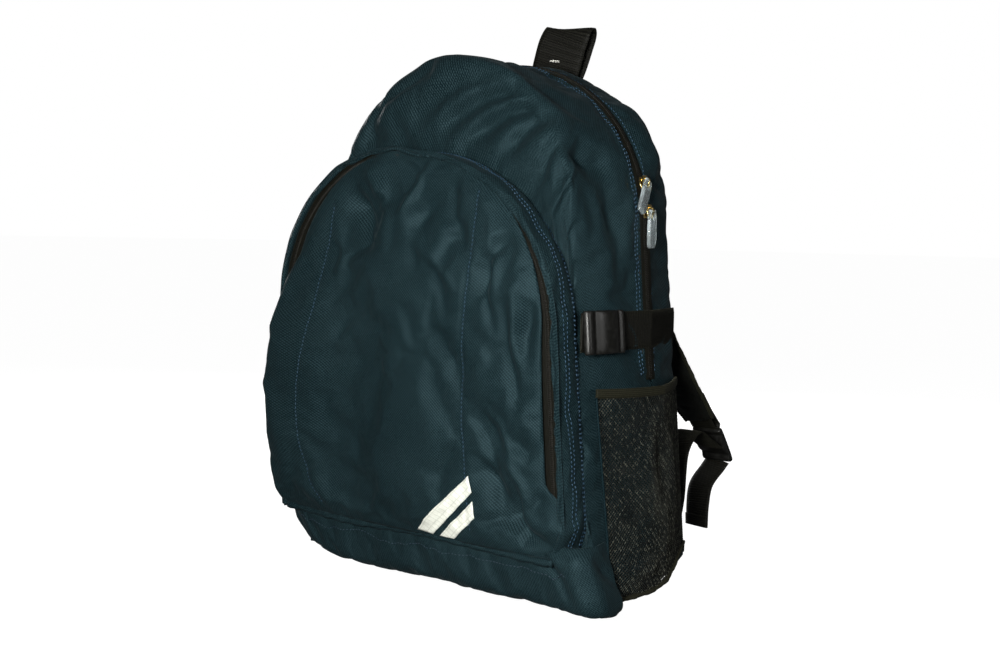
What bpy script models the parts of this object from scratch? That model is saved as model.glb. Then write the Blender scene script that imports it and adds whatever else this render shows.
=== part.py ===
"""School backpack: arched main bag, D-shaped front pocket, two shoulder straps.

Seen from the front, +X is to the right. The front pocket faces -Y, the shoulder straps
hang on +Y and +Z is up. The origin lies on the floor, under the middle of the bag's
width and 56 mm behind its front seam. All lengths are in metres.
"""

import math

import bmesh
import bpy
import numpy as np
from mathutils import Euler, Matrix, Vector

# ---------------------------------------------------------------- driving dimensions
FABRIC = 0.0015                     # sewn polyester with its lining
WEBBING = 0.0018
GAP = 0.0004                        # clearance that touching pieces keep

# The bag's skin at three depths: front seam, main zip and back seam.
DEPTHS = (-0.056, 0.022, 0.077)
HALF_BASES = (0.156, 0.160, 0.150)
RADII = (0.126, 0.137, 0.123)
TOPS = (0.416, 0.424, 0.420)
FRONT_Y, ZIP_Y, BACK_Y = DEPTHS
SIDE_STEPS = 4
ARC_STEPS = 18

BASE_THICK = 0.003
WALL_LOW = BASE_THICK + GAP         # lowest edge of every wall
BOOT_TOP = 0.034                    # top of the band along the foot of the front
ZIP_END = 0.168                     # height where the main zip starts and ends
ZIP_HALF = 0.0045                   # half of the slot that shows the zip
TAPE_WIDTH = 0.008
TAPE_THICK = 0.001
COIL_WIDTH = 0.0024
FOAM_THICK = 0.005

# Front pocket: arches as (half base, radius, top).
POCKET_SEAM = (0.150, 0.129, 0.336)
POCKET_RIM = (0.161, 0.145, 0.349)
POCKET_MOUTH = (0.146, 0.130, 0.334)
POCKET_RIM_Y = -0.086
POCKET_LOW = 0.040
POCKET_BULGE = 0.013
PANEL_SEAMS = (-0.105, 0.062)       # the two sewn seams down the pocket front
HINGE_Y, HINGE_Z = -0.0598, 0.0365  # the pocket front folds forward about this line
BAR_THICK = 0.0008
SAFETY_BARS = (("upper", ((0.0590, 0.098), (0.006, 0.045)), ((0.0595, 0.083), (0.024, 0.045))),
               ("lower", ((0.0600, 0.073), (0.032, 0.045)), ((0.0605, 0.059), (0.047, 0.045))))

# Mesh side pockets.
MESH_THICK = 0.001
MESH_BULGE = 0.010
MESH_TOP = 0.160
ELASTIC_HEIGHT = 0.006

# Compression straps.
SIDE_STRAP_Z = 0.209
SIDE_STRAP_WIDTH = 0.030
SIDE_LOCK_Y = (-0.053, -0.017)
LOCK_THICK = 0.004
LOCK_SLOT = 0.0035

# Zip sliders.
SLIDER_SIZE = (0.004, 0.008, 0.011)
SLIDER_ANGLES = (15.5, 6.0)         # degrees up the main arch
BAIL_RADIUS = 0.004
BAIL_WIRE = 0.0007
BAIL_LIFT = 0.0005
PULL_SIZE = (0.0016, 0.010, 0.030)
PULL_HOLE = (0.006, 0.0065)
PULL_BAR = 0.0016
BAR_LIFT = 0.0022                   # from the slider's face to the bar of its pull
UPPER_PULL_TURN = (-32.0, -7.0)     # forward of the lower slider, and clear of the skin
POCKET_SLIDER_Z = 0.100

# Shoulder straps, for the +X one: routes as (x, y, z).
YOKE_SIZE = (0.140, 0.036)
YOKE_Z = 0.376
PAD_ROUTE = ((0.046, 0.090, 0.358), (0.054, 0.098, 0.325), (0.067, 0.104, 0.270),
             (0.084, 0.115, 0.211), (0.097, 0.137, 0.166), (0.110, 0.165, 0.119))
PAD_WIDTHS = (0.060, 0.032)
PAD_THICK = 0.009
TAB_ROUTE = ((0.109, 0.1660, 0.1304), (0.112, 0.1795, 0.1140))
LOCK_ROUTE = ((0.112, 0.176, 0.112), (0.114, 0.201, 0.079))
STRAP_WIDTH = 0.025
LOWER_ROUTE = ((0.1135, 0.1830, 0.092), (0.1145, 0.160, 0.1035), (0.117, 0.136, 0.112),
               (0.121, 0.109, 0.098), (0.125, 0.097, 0.060), (0.126, 0.0865, 0.034))
TAIL_ROUTE = ((0.1135, 0.1950, 0.0735), (0.110, 0.182, 0.058), (0.109, 0.174, 0.040),
              (0.108, 0.172, 0.018))

# Haul handle, as (y, z) over its loop.
HANDLE_WIDTH = 0.050
HANDLE_HINGE = (0.0800, 0.4220)
HANDLE_ROUTE = ((0.0785, 0.4235), (0.0750, 0.4370), (0.0790, 0.4550), (0.0890, 0.4630),
                (0.0990, 0.4570), (0.1010, 0.4400), (0.0815, 0.4235))

COLOURS = {
    "navy": ((0.020, 0.035, 0.055), 0.75, 0.0),
    "black_web": ((0.012, 0.012, 0.012), 0.80, 0.0),
    "mesh": ((0.020, 0.020, 0.018), 0.85, 0.0),
    "zip_tape": ((0.020, 0.016, 0.012), 0.80, 0.0),
    "foam": ((0.30, 0.30, 0.30), 0.95, 0.0),
    "lining": ((0.05, 0.06, 0.08), 0.85, 0.0),
    "reflective": ((0.70, 0.72, 0.68), 0.30, 0.0),
    "black_plastic": ((0.010, 0.010, 0.010), 0.35, 0.0),
    "brass": ((0.72, 0.50, 0.20), 0.30, 1.0),
    "clear_plastic": ((0.75, 0.78, 0.78), 0.15, 0.0),
}


# ---------------------------------------------------------------- scene helpers
def clear_scene():
    for item in list(bpy.data.objects):
        bpy.data.objects.remove(item, do_unlink=True)


def new_collection(name):
    collection = bpy.data.collections.new(name)
    bpy.context.scene.collection.children.link(collection)
    return collection


def material(slot):
    """The slot's Principled material, made the first time it is asked for."""
    if slot in bpy.data.materials:
        return bpy.data.materials[slot]
    colour, roughness, metallic = COLOURS[slot]
    made = bpy.data.materials.new(slot)
    made.use_nodes = True
    shader = made.node_tree.nodes["Principled BSDF"]
    shader.inputs["Base Color"].default_value = (*colour, 1.0)
    shader.inputs["Roughness"].default_value = roughness
    shader.inputs["Metallic"].default_value = metallic
    return made


def place(name, data, slot, pivot=None):
    """Link new data as an object; a moving piece gets its origin on its pivot."""
    item = bpy.data.objects.new(name, data)
    PARTS.objects.link(item)
    data.materials.append(material(slot))
    if pivot is not None:
        data.transform(Matrix.Translation(-Vector(pivot)))
        item.location = pivot
    return item


def on_axis(item, point):
    """Parent a moving piece to an empty that stands on its joint's axis."""
    axis = bpy.data.objects.new(f"{item.name}_axis", None)
    PARTS.objects.link(axis)
    axis.location = point
    item.parent = axis
    item.matrix_parent_inverse = Matrix.Translation(-Vector(point))


def solidify(item, thickness):
    shell = item.modifiers.new("thickness", "SOLIDIFY")
    shell.thickness = thickness
    shell.offset = 0.0
    shell.use_even_offset = True


def bevel(item, width, segments=2):
    edge = item.modifiers.new("rounded_edges", "BEVEL")
    edge.width = width
    edge.segments = segments
    edge.limit_method = "ANGLE"
    edge.angle_limit = math.radians(50)


def sheet(name, rows, thickness, slot, pivot=None):
    """An open surface through equal rows of points, given its thickness by Solidify."""
    mesh = bpy.data.meshes.new(name)
    made = bmesh.new()
    grid = [[made.verts.new(point) for point in row] for row in rows]
    for near, far in zip(grid, grid[1:]):
        for i in range(len(near) - 1):
            made.faces.new((near[i], near[i + 1], far[i + 1], far[i]))
    made.to_mesh(mesh)
    made.free()
    item = place(name, mesh, slot, pivot)
    solidify(item, thickness)
    return item


def outline_curve(name, loops, thickness):
    """Flat curve filled between its loops of (u, v), standing in its own XY plane."""
    curve = bpy.data.curves.new(name, "CURVE")
    curve.dimensions = "2D"
    curve.fill_mode = "BOTH"
    curve.extrude = thickness / 2
    for loop in loops:
        spline = curve.splines.new("POLY")
        spline.points.add(len(loop) - 1)
        for point, (u, v) in zip(spline.points, loop):
            point.co = (u, v, 0.0, 1.0)
        spline.use_cyclic_u = True
    return curve


def plate(name, loops, thickness, slot, location, rotation=(0.0, 0.0, 0.0)):
    curve = outline_curve(name, loops, thickness)
    curve.materials.append(material(slot))
    item = bpy.data.objects.new(name, curve)
    PARTS.objects.link(item)
    item.location = location
    item.rotation_euler = rotation
    return item


def rectangle(width, height, centre=(0.0, 0.0), corner=0.0, steps=3):
    """Loop of a rectangle whose corners are arcs."""
    if corner == 0.0:
        steps = 0
    loop = []
    for quarter, (sx, sy) in enumerate(((1, 1), (-1, 1), (-1, -1), (1, -1))):
        for step in range(steps + 1):
            turn = math.pi / 2 * (quarter + step / max(steps, 1))
            u = centre[0] + sx * (width / 2 - corner) + corner * math.cos(turn)
            v = centre[1] + sy * (height / 2 - corner) + corner * math.sin(turn)
            loop.append((u, v))
    return loop


# ---------------------------------------------------------------- shape of the bag
def skin(depth):
    """Half base, arch radius and top of the bag's skin at a depth along Y."""
    return tuple(float(np.interp(depth, DEPTHS, row)) for row in (HALF_BASES, RADII, TOPS))


def inset(arch, amount):
    return tuple(value - amount for value in arch)


def half_width(arch, height):
    half_base, radius, top = arch
    spring = top - radius
    if height <= spring:
        return half_base + (radius - half_base) * height / spring
    return math.sqrt(max(radius ** 2 - (height - spring) ** 2, 0.0))


def arch_line(arch, low, depth):
    """Points up the +X side, over the top and down the -X side."""
    radius, top = arch[1:]
    spring = top - radius
    right = [(half_width(arch, z), depth, z) for z in np.linspace(low, spring, SIDE_STEPS + 1)]
    turns = np.linspace(0.0, math.pi, ARC_STEPS + 1)[1:-1]
    over = [(radius * math.cos(a), depth, spring + radius * math.sin(a)) for a in turns]
    left = [(-x, y, z) for x, y, z in reversed(right)]
    return right + over + left


def skin_band(name, depths, low, inward, thickness, slot, pivot=None):
    """A band of the bag's skin between depths, moved inward by an amount."""
    rows = [arch_line(inset(skin(y), inward), low, y) for y in depths]
    return sheet(name, rows, thickness, slot, pivot)


def smooth_route(points, steps=4):
    """Catmull-Rom curve through hand-chosen points."""
    knots = [np.array(p, float) for p in points]
    knots = [2 * knots[0] - knots[1]] + knots + [2 * knots[-1] - knots[-2]]
    route = []
    for a, b, c, d in zip(knots, knots[1:], knots[2:], knots[3:]):
        for t in np.linspace(0.0, 1.0, steps, endpoint=False):
            route.append(0.5 * (2 * b + (c - a) * t + (2 * a - 5 * b + 4 * c - d) * t ** 2
                                + (3 * b - a - 3 * c + d) * t ** 3))
    route.append(knots[-2])
    return route


def ribbon(name, route, widths, thickness, slot, pivot=None):
    """A strap whose width lies along X, from its first width to its last."""
    rows = []
    for i, (x, y, z) in enumerate(route):
        half = np.interp(i, (0, len(route) - 1), widths) / 2
        rows.append([(x - half, y, z), (x + half, y, z)])
    return sheet(name, rows, thickness, slot, pivot)


# ---------------------------------------------------------------- back of the bag
def base_panel():
    """Six-sided floor of the bag, widest under the main zip."""
    reach = FABRIC / 2
    ends = list(zip(HALF_BASES, (FRONT_Y - reach, ZIP_Y, BACK_Y + reach)))
    loop = ends + [(-x, y) for x, y in reversed(ends)]
    plate("base_panel", [loop], BASE_THICK, "navy", (0.0, 0.0, BASE_THICK / 2))


def back_layers():
    """Outer back cloth, the foam behind it and the lining that holds the foam."""
    layers = (("back_panel", FABRIC, 0.0, "navy"), ("back_foam", FOAM_THICK, FABRIC, "foam"),
              ("back_lining", FABRIC / 2, FABRIC, "lining"))
    y = BACK_Y + FABRIC / 2
    for name, thickness, inward, slot in layers:
        arch = inset(skin(BACK_Y), inward)
        loop = [(x, z) for x, _, z in arch_line(arch, WALL_LOW, 0.0)]
        location = (0.0, y - thickness / 2, 0.0)
        plate(name, [loop], thickness, slot, location, (math.pi / 2, 0.0, 0.0))
        y -= thickness + GAP


def rear_gusset():
    depths = np.linspace(ZIP_Y + ZIP_HALF, BACK_Y - FABRIC / 2 - GAP, 3)
    skin_band("rear_gusset", depths, WALL_LOW, 0.0, FABRIC, "navy")


def side_gussets():
    """Lower side walls, below the ends of the main zip."""
    depths = np.linspace(FRONT_Y + FABRIC / 2 + GAP, ZIP_Y + ZIP_HALF - GAP, 5)
    for side, label in ((1, "right"), (-1, "left")):
        rows = [[(side * half_width(skin(y), z), y, z) for y in depths]
                for z in np.linspace(WALL_LOW, ZIP_END - GAP, 4)]
        sheet(f"side_gusset_{label}", rows, FABRIC, "navy")


def mesh_x(y, z):
    """Outer reach of the mesh pocket: sewn flat at its foot and at its two seams."""
    across = (y - FRONT_Y) / (BACK_Y - FRONT_Y)
    rise = min(1.0, math.sqrt(max(z - WALL_LOW, 0.0) / 0.05))
    seam = (FABRIC + MESH_THICK) / 2 + GAP
    return half_width(skin(y), z) + seam + MESH_BULGE * math.sin(math.pi * across) * rise


def mesh_pockets():
    depths = np.linspace(FRONT_Y + 0.001, BACK_Y - 0.001, 9)
    heights = (WALL_LOW + 0.001, 0.012, 0.026, 0.053, 0.108, MESH_TOP)
    for side, label in ((1, "right"), (-1, "left")):
        rows = [[(side * mesh_x(y, z), y, z) for y in depths] for z in heights]
        sheet(f"mesh_pocket_{label}", rows, MESH_THICK, "mesh")
        rows = [[(side * mesh_x(y, MESH_TOP), y, z) for y in depths]
                for z in (MESH_TOP + GAP, MESH_TOP + GAP + ELASTIC_HEIGHT)]
        sheet(f"mesh_elastic_{label}", rows, 2 * MESH_THICK, "black_web")


def strap_anchors():
    """Yoke that covers the sewn tops of the straps, and the two lower corner tabs."""
    yoke = rectangle(*YOKE_SIZE, corner=0.004)
    outside = BACK_Y + FABRIC / 2 + GAP
    plate("strap_yoke", [yoke], FABRIC, "navy", (0.0, outside + FABRIC / 2, YOKE_Z),
          (math.pi / 2, 0.0, 0.0))
    for side, label in ((1, "right"), (-1, "left")):
        tab = [(side * x, z) for x, z in ((0.148, 0.006), (0.147, 0.050), (0.112, 0.030),
                                          (0.112, 0.018))]
        plate(f"lower_anchor_{label}", [tab], WEBBING, "black_web",
              (0.0, outside + WEBBING / 2, 0.0), (math.pi / 2, 0.0, 0.0))


# ---------------------------------------------------------------- main zip
def zip_halves():
    """Each half of the main zip is a sewn tape with its coil along the inner edge."""
    under = FABRIC / 2 + GAP + TAPE_THICK / 2
    over = under - TAPE_THICK - GAP
    for label, way in (("front", -1), ("rear", 1)):
        edges = (ZIP_Y + way * GAP, ZIP_Y + way * TAPE_WIDTH)
        skin_band(f"zip_tape_{label}", edges, ZIP_END, under, TAPE_THICK, "zip_tape",
                  front_pivot(label))
        edges = (ZIP_Y + way * GAP, ZIP_Y + way * (GAP + COIL_WIDTH))
        skin_band(f"zip_coil_{label}", edges, ZIP_END, over, TAPE_THICK, "zip_tape",
                  front_pivot(label))


def front_pivot(label="front"):
    return (0.0, FRONT_Y, WALL_LOW) if label == "front" else None


def slider_body(name, centre, turn, slot="brass"):
    """A slider block with the wire bail that holds its pull, turned about Y."""
    bpy.ops.mesh.primitive_cube_add(size=1.0)
    body = bpy.context.object
    body.name = name
    body.data.transform(Matrix.Diagonal((*SLIDER_SIZE, 1.0)))
    bpy.ops.mesh.primitive_torus_add(major_radius=BAIL_RADIUS, minor_radius=BAIL_WIRE,
                                     major_segments=16, minor_segments=6)
    bail = bpy.context.object
    bail.data.transform(Matrix.Rotation(math.pi / 2, 4, "X"))
    bail.data.transform(Matrix.Translation((SLIDER_SIZE[0] / 2 + BAIL_LIFT, 0.0, 0.0)))
    join(body, bail, "UNION")
    for item, home in ((body, PARTS), (bail, CUTTERS)):
        for old in list(item.users_collection):
            old.objects.unlink(item)
        home.objects.link(item)
    body.data.materials.append(material(slot))
    for item in (body, bail):
        item.location = centre
        item.rotation_euler = turn
    return body


def join(body, tool, operation):
    step = body.modifiers.new("join", "BOOLEAN")
    step.operation = operation
    step.object = tool
    step.solver = "EXACT"
    tool.hide_render = True
    tool.display_type = "WIRE"


def pull_tab(name, centre, turn, slot):
    """A flat pull hanging from the bar at its top, which is its hinge; turn is a matrix."""
    thick, width, length = PULL_SIZE
    hole_width, hole_length = PULL_HOLE
    outer = rectangle(width, length, (0.0, PULL_BAR / 2 - length / 2), 0.0022)
    hole = rectangle(hole_width, hole_length, (0.0, -PULL_BAR / 2 - hole_length / 2), 0.0008)
    local = Euler((math.pi / 2, 0.0, math.pi / 2)).to_matrix()
    item = plate(name, [outer, hole], thick, slot, centre)
    item.rotation_euler = (turn @ local).to_euler()
    return item


def zip_point(angle, outward):
    """Centre line point of the main zip at an angle up its arch."""
    radius, top = skin(ZIP_Y)[1:]
    reach = radius + outward
    return (reach * math.cos(angle), ZIP_Y, top - radius + reach * math.sin(angle))


def main_sliders():
    """Two sliders on the +X shoulder, each with a clear pull that hangs from it."""
    lift = TAPE_THICK + SLIDER_SIZE[0] / 2
    bar = lift + SLIDER_SIZE[0] / 2 + BAR_LIFT
    turns = (UPPER_PULL_TURN, (0.0, 0.0))
    for label, degrees, (tilt, swing) in zip(("upper", "lower"), SLIDER_ANGLES, turns):
        angle = math.radians(degrees)
        body = slider_body(f"zip_slider_{label}", zip_point(angle, lift), (0.0, -angle, 0.0))
        if label == "upper":
            on_axis(body, zip_point(0.0, -skin(ZIP_Y)[1]))
        turn = (Matrix.Rotation(math.radians(tilt), 3, "X")
                @ Matrix.Rotation(math.radians(swing), 3, "Y"))
        pull_tab(f"zip_pull_{label}", zip_point(angle, bar), turn, "clear_plastic")


# ---------------------------------------------------------------- front half
def front_panel():
    loop = [(x, z - WALL_LOW) for x, _, z in arch_line(skin(FRONT_Y), WALL_LOW, 0.0)]
    plate("front_panel", [loop], FABRIC, "navy", front_pivot(), (math.pi / 2, 0.0, 0.0))


def front_gusset():
    depths = np.linspace(FRONT_Y + FABRIC / 2 + GAP, ZIP_Y - ZIP_HALF, 4)
    skin_band("front_gusset", depths, ZIP_END + GAP, 0.0, FABRIC, "navy", front_pivot())


def boot_band():
    """Band of base cloth turned up along the foot of the front."""
    y = FRONT_Y - FABRIC - GAP
    rows = [[(-half_width(skin(FRONT_Y), z), y, z), (half_width(skin(FRONT_Y), z), y, z)]
            for z in (WALL_LOW, BOOT_TOP)]
    sheet("boot_band", rows, FABRIC, "navy", front_pivot())


def side_strap_rows(side, ends, lift, width, columns=5):
    """Rows of a strap lying on the side wall at a lift from its skin."""
    heights = (SIDE_STRAP_Z - width / 2, SIDE_STRAP_Z + width / 2)
    depths = list(np.linspace(*ends, columns))
    if ends[0] < ZIP_Y < ends[1]:
        depths = sorted([*depths, ZIP_Y])
    return [[(side * (half_width(skin(y), z) + lift), y, z) for y in depths] for z in heights]


def side_straps():
    """Compression straps: a short tab, a ladder lock and the strap to the back seam."""
    lift = FABRIC / 2 + GAP + WEBBING / 2
    front, rear = SIDE_LOCK_Y
    strap_end = BACK_Y - 0.001
    lock_lift = FABRIC / 2 + 2 * GAP + WEBBING + LOCK_THICK / 2
    for side, label in ((1, "right"), (-1, "left")):
        rows = side_strap_rows(side, (FRONT_Y + 0.001, front + 0.006), lift, SIDE_STRAP_WIDTH, 2)
        sheet(f"side_tab_{label}", rows, WEBBING, "black_web", front_pivot())
        rows = side_strap_rows(side, (rear - 0.008, strap_end), lift, SIDE_STRAP_WIDTH)
        sheet(f"side_strap_{label}", rows, WEBBING, "black_web")
        middle = (front + rear) / 2
        reach = half_width(skin(middle), SIDE_STRAP_Z)
        sweep = math.atan((half_width(skin(rear), SIDE_STRAP_Z) - reach) / (rear - middle))
        fall = math.atan((half_width(skin(middle), 0.0) - reach) / SIDE_STRAP_Z)
        turn = Euler((0.0, -side * fall, -side * sweep)).to_matrix()
        turn = turn @ Matrix.Rotation(math.pi / 2, 3, "Y")
        centre = (side * (reach + lock_lift), middle, SIDE_STRAP_Z)
        hinge = (side * (half_width(skin(front), SIDE_STRAP_Z) + lock_lift), front, SIDE_STRAP_Z)
        ladder_lock(f"side_lock_{label}", rear - front, SIDE_STRAP_WIDTH, centre, turn, hinge)


def ladder_lock(name, length, strap_width, centre, turn, hinge):
    """Flat lock with two slots; its length lies along its own Y."""
    outer = rectangle(strap_width + 0.006, length, corner=0.004)
    slots = [rectangle(strap_width + 0.001, LOCK_SLOT, (0.0, v * length)) for v in (-0.30, 0.12)]
    item = plate(name, [outer, *slots], LOCK_THICK, "black_plastic", centre)
    item.rotation_euler = turn.to_euler()
    on_axis(item, hinge)


# ---------------------------------------------------------------- front pocket
def pocket_walls():
    """Wall of the pocket and the stitched flap that covers its zip."""
    pivot = front_pivot()
    wall_front = POCKET_RIM_Y + FABRIC / 2 + GAP
    rows = [arch_line(POCKET_SEAM, POCKET_LOW, FRONT_Y - FABRIC - GAP),
            arch_line(POCKET_RIM, POCKET_LOW, (FRONT_Y + POCKET_RIM_Y) / 2),
            arch_line(POCKET_RIM, POCKET_LOW, wall_front)]
    sheet("pocket_gusset", rows, FABRIC, "navy", pivot)
    rows = [arch_line(POCKET_RIM, POCKET_LOW, POCKET_RIM_Y),
            arch_line(POCKET_MOUTH, POCKET_LOW, POCKET_RIM_Y - 0.002)]
    sheet("pocket_flap", rows, FABRIC, "navy", pivot)
    under = POCKET_RIM_Y + FABRIC / 2 + GAP + TAPE_THICK / 2
    rows = [arch_line(inset(POCKET_MOUTH, -0.008), POCKET_LOW + 0.03, under),
            arch_line(inset(POCKET_MOUTH, GAP), POCKET_LOW + 0.03, under)]
    sheet("pocket_zip_tape_outer", rows, TAPE_THICK, "zip_tape", pivot)
    rows = [arch_line(inset(POCKET_MOUTH, 3 * GAP), POCKET_LOW + 0.03, under),
            arch_line(inset(POCKET_MOUTH, 0.008), POCKET_LOW + 0.03, under)]
    sheet("pocket_zip_tape_inner", rows, TAPE_THICK, "zip_tape", LID_PIVOT)


def dome_y(x, z):
    """Depth of the pocket front, which swells towards its middle."""
    arch = inset(POCKET_MOUTH, 0.002)
    across = x / max(half_width(arch, z), 0.001)
    middle = (POCKET_LOW + arch[2]) / 2
    along = (z - middle) / (arch[2] - middle + 0.01)
    swell = max(1.0 - across ** 2, 0.0) * max(1.0 - along ** 2, 0.0)
    return POCKET_RIM_Y - 0.001 - POCKET_BULGE * swell


def pocket_panels():
    """Left, centre and right cloths of the pocket front, and the strip under them."""
    arch = inset(POCKET_MOUTH, 0.002)
    low = POCKET_LOW + FABRIC
    spring = arch[2] - arch[1]
    heights = list(np.linspace(low, spring, 6))
    heights += [spring + arch[1] * math.sin(math.radians(a)) for a in (14, 27, 39, 50, 58, 66, 75, 84)]
    spans = (("left", -1.0, PANEL_SEAMS[0]), ("centre", *PANEL_SEAMS), ("right", PANEL_SEAMS[1], 1.0))
    for label, start, end in spans:
        rows = []
        for z in heights:
            reach = half_width(arch, z)
            left = max(start + GAP, -reach)
            right = min(end - GAP, reach)
            if right - left > 0.006:
                xs = np.linspace(left, right, 7 if label == "centre" else 3)
                rows.append([(x, dome_y(x, z), z) for x in xs])
        sheet(f"pocket_panel_{label}", rows, FABRIC, "navy", LID_PIVOT)
    reach = half_width(arch, low) - 0.001
    strip_front = POCKET_RIM_Y + FABRIC
    z = POCKET_LOW
    rows = [[(-reach, y, z), (reach, y, z)] for y in (HINGE_Y - 0.001, strip_front)]
    sheet("pocket_base", rows, FABRIC, "navy", LID_PIVOT)


def reflective_bars():
    """Two plain slanted safety bars sewn to the foot of the centre cloth."""
    lift = FABRIC / 2 + GAP + BAR_THICK / 2
    for label, upper_edge, lower_edge in SAFETY_BARS:
        edges = [np.array(edge) for edge in (upper_edge, lower_edge)]
        rows = []
        for t in np.linspace(0.0, 1.0, 5):
            across = [edge[0] + (edge[1] - edge[0]) * t for edge in edges]
            rows.append([(x, dome_y(x, z) - lift, z) for x, z in across])
        sheet(f"reflective_bar_{label}", rows, BAR_THICK, "reflective", LID_PIVOT)


def pocket_slider():
    """The pocket's slider, parked low on the -X side, with its pull."""
    x = -(half_width(POCKET_MOUTH, POCKET_SLIDER_Z) - 2 * GAP)
    lift = POCKET_RIM_Y - 0.002 - FABRIC / 2 - GAP - SLIDER_SIZE[0] / 2
    turn = Euler((0.0, 0.0, -math.pi / 2))
    slider_body("pocket_slider", (x, lift, POCKET_SLIDER_Z), turn)
    bar = lift - SLIDER_SIZE[0] / 2 - BAR_LIFT
    pull_tab("pocket_pull", (x, bar, POCKET_SLIDER_Z), turn.to_matrix(), "clear_plastic")


# ---------------------------------------------------------------- carrying parts
def haul_handle():
    route = smooth_route([(0.0, y, z) for y, z in HANDLE_ROUTE])
    width = (HANDLE_WIDTH, HANDLE_WIDTH)
    ribbon("haul_handle", route, width, WEBBING, "black_web", (0.0, *HANDLE_HINGE))


def mirrored(route, side):
    return [(side * x, y, z) for x, y, z in route]


def shoulder_straps():
    """Each strap: padded part, tab, ladder lock, lower webbing and its free tail."""
    width = (STRAP_WIDTH, STRAP_WIDTH)
    for side, label in ((1, "right"), (-1, "left")):
        pivot = (side * PAD_ROUTE[0][0], PAD_ROUTE[0][1], PAD_ROUTE[0][2])
        pad = ribbon(f"shoulder_pad_{label}", smooth_route(mirrored(PAD_ROUTE, side), 3),
                     PAD_WIDTHS, PAD_THICK, "black_web", pivot)
        bevel(pad, PAD_THICK / 3)
        ribbon(f"strap_tab_{label}", mirrored(TAB_ROUTE, side), width, WEBBING, "black_web", pivot)
        ribbon(f"lower_webbing_{label}", smooth_route(mirrored(LOWER_ROUTE, side)), width,
               WEBBING, "black_web", pivot)
        ribbon(f"strap_tail_{label}", smooth_route(mirrored(TAIL_ROUTE, side)), width, WEBBING,
               "black_web", pivot)
        top, foot = (Vector(p) for p in mirrored(LOCK_ROUTE, side))
        fall = math.atan2(foot.y - top.y, top.z - foot.z)
        turn = Euler((math.pi / 2 + fall, 0.0, 0.0)).to_matrix()
        ladder_lock(f"strap_lock_{label}", (top - foot).length, STRAP_WIDTH, (top + foot) / 2,
                    turn, top)


LID_PIVOT = (0.0, HINGE_Y, HINGE_Z)

clear_scene()
PARTS = new_collection("school_backpack")
CUTTERS = new_collection("cutters")

base_panel()
back_layers()
rear_gusset()
side_gussets()
mesh_pockets()
strap_anchors()
zip_halves()
main_sliders()
front_panel()
front_gusset()
boot_band()
side_straps()
pocket_walls()
pocket_panels()
reflective_bars()
pocket_slider()
haul_handle()
shoulder_straps()
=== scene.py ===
"""Looks of the school backpack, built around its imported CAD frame. Lengths are in metres."""
import math

import bmesh
import bpy
import numpy as np
from mathutils import Matrix, Vector, noise
from mathutils.bvhtree import BVHTree


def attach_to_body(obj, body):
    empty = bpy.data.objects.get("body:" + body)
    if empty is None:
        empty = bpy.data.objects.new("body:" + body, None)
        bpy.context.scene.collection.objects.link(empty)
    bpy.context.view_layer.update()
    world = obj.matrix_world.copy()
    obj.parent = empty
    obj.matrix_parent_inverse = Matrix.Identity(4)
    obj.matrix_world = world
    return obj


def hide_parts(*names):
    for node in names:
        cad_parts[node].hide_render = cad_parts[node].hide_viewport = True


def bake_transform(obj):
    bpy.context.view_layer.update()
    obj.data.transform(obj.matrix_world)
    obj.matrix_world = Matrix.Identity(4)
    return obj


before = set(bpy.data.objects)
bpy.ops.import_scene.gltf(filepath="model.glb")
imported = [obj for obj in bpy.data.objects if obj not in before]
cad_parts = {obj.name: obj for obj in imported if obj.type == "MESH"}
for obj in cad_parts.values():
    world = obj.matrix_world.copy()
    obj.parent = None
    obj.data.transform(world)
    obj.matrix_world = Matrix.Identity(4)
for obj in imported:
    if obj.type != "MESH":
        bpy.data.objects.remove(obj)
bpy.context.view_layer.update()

# ---------------------------------------------------------------- shape of the frame
DEPTHS = (-0.056, 0.022, 0.077)
SKIN = ((0.156, 0.126, 0.416), (0.160, 0.137, 0.424), (0.150, 0.123, 0.420))
FRONT_Y, ZIP_Y, BACK_Y = DEPTHS
ZIP_HALF = 0.0045
ZIP_END = 0.168
POCKET_SEAM = (0.150, 0.129, 0.336)
POCKET_RIM = (0.161, 0.145, 0.349)
POCKET_MOUTH = (0.146, 0.130, 0.334)
POCKET_LOW = 0.040
STRAP_Z = 0.209
HEM = 0.0034
FOOT_RISE = (-0.004, 0.077)
FOLD_GAIN = 1.6
NET_THREAD = 0.00070
STRAP_WIDTH = 0.025
PAD_CHANNEL_X = 0.045
POCKET_SLIDER = (-0.1555, -0.0885, 0.100)
FLOOR_REACH, FLOOR_DROP = 40.0, 0.020
BAG_MIDDLE = (0, 0, 0.2)
VIEW_ANGLES = (38.755, 4.167, 1.239)  # round the bag, up and rolled, in degrees
VIEW_DISTANCE = 1.085
VIEW_LENS, VIEW_SHIFT = 45.918, (0.0096, -0.0008)


# ---------------------------------------------------------------- camera, light, floor
def camera():
    az, el, roll = (math.radians(a) for a in VIEW_ANGLES)
    back = Vector((math.sin(az) * math.cos(el), -math.cos(az) * math.cos(el), math.sin(el)))
    right = Vector((math.cos(az), math.sin(az), 0))
    up = back.cross(right)
    across = math.cos(roll) * right + math.sin(roll) * up
    upward = math.cos(roll) * up - math.sin(roll) * right
    data = bpy.data.cameras.new("camera")
    data.lens = VIEW_LENS
    data.shift_x, data.shift_y = VIEW_SHIFT
    item = bpy.data.objects.new("camera", data)
    bpy.context.scene.collection.objects.link(item)
    item.matrix_world = Matrix((across, upward, back)).transposed().to_4x4()
    item.location = Vector(BAG_MIDDLE) + back * VIEW_DISTANCE
    bpy.context.scene.camera = item


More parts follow.
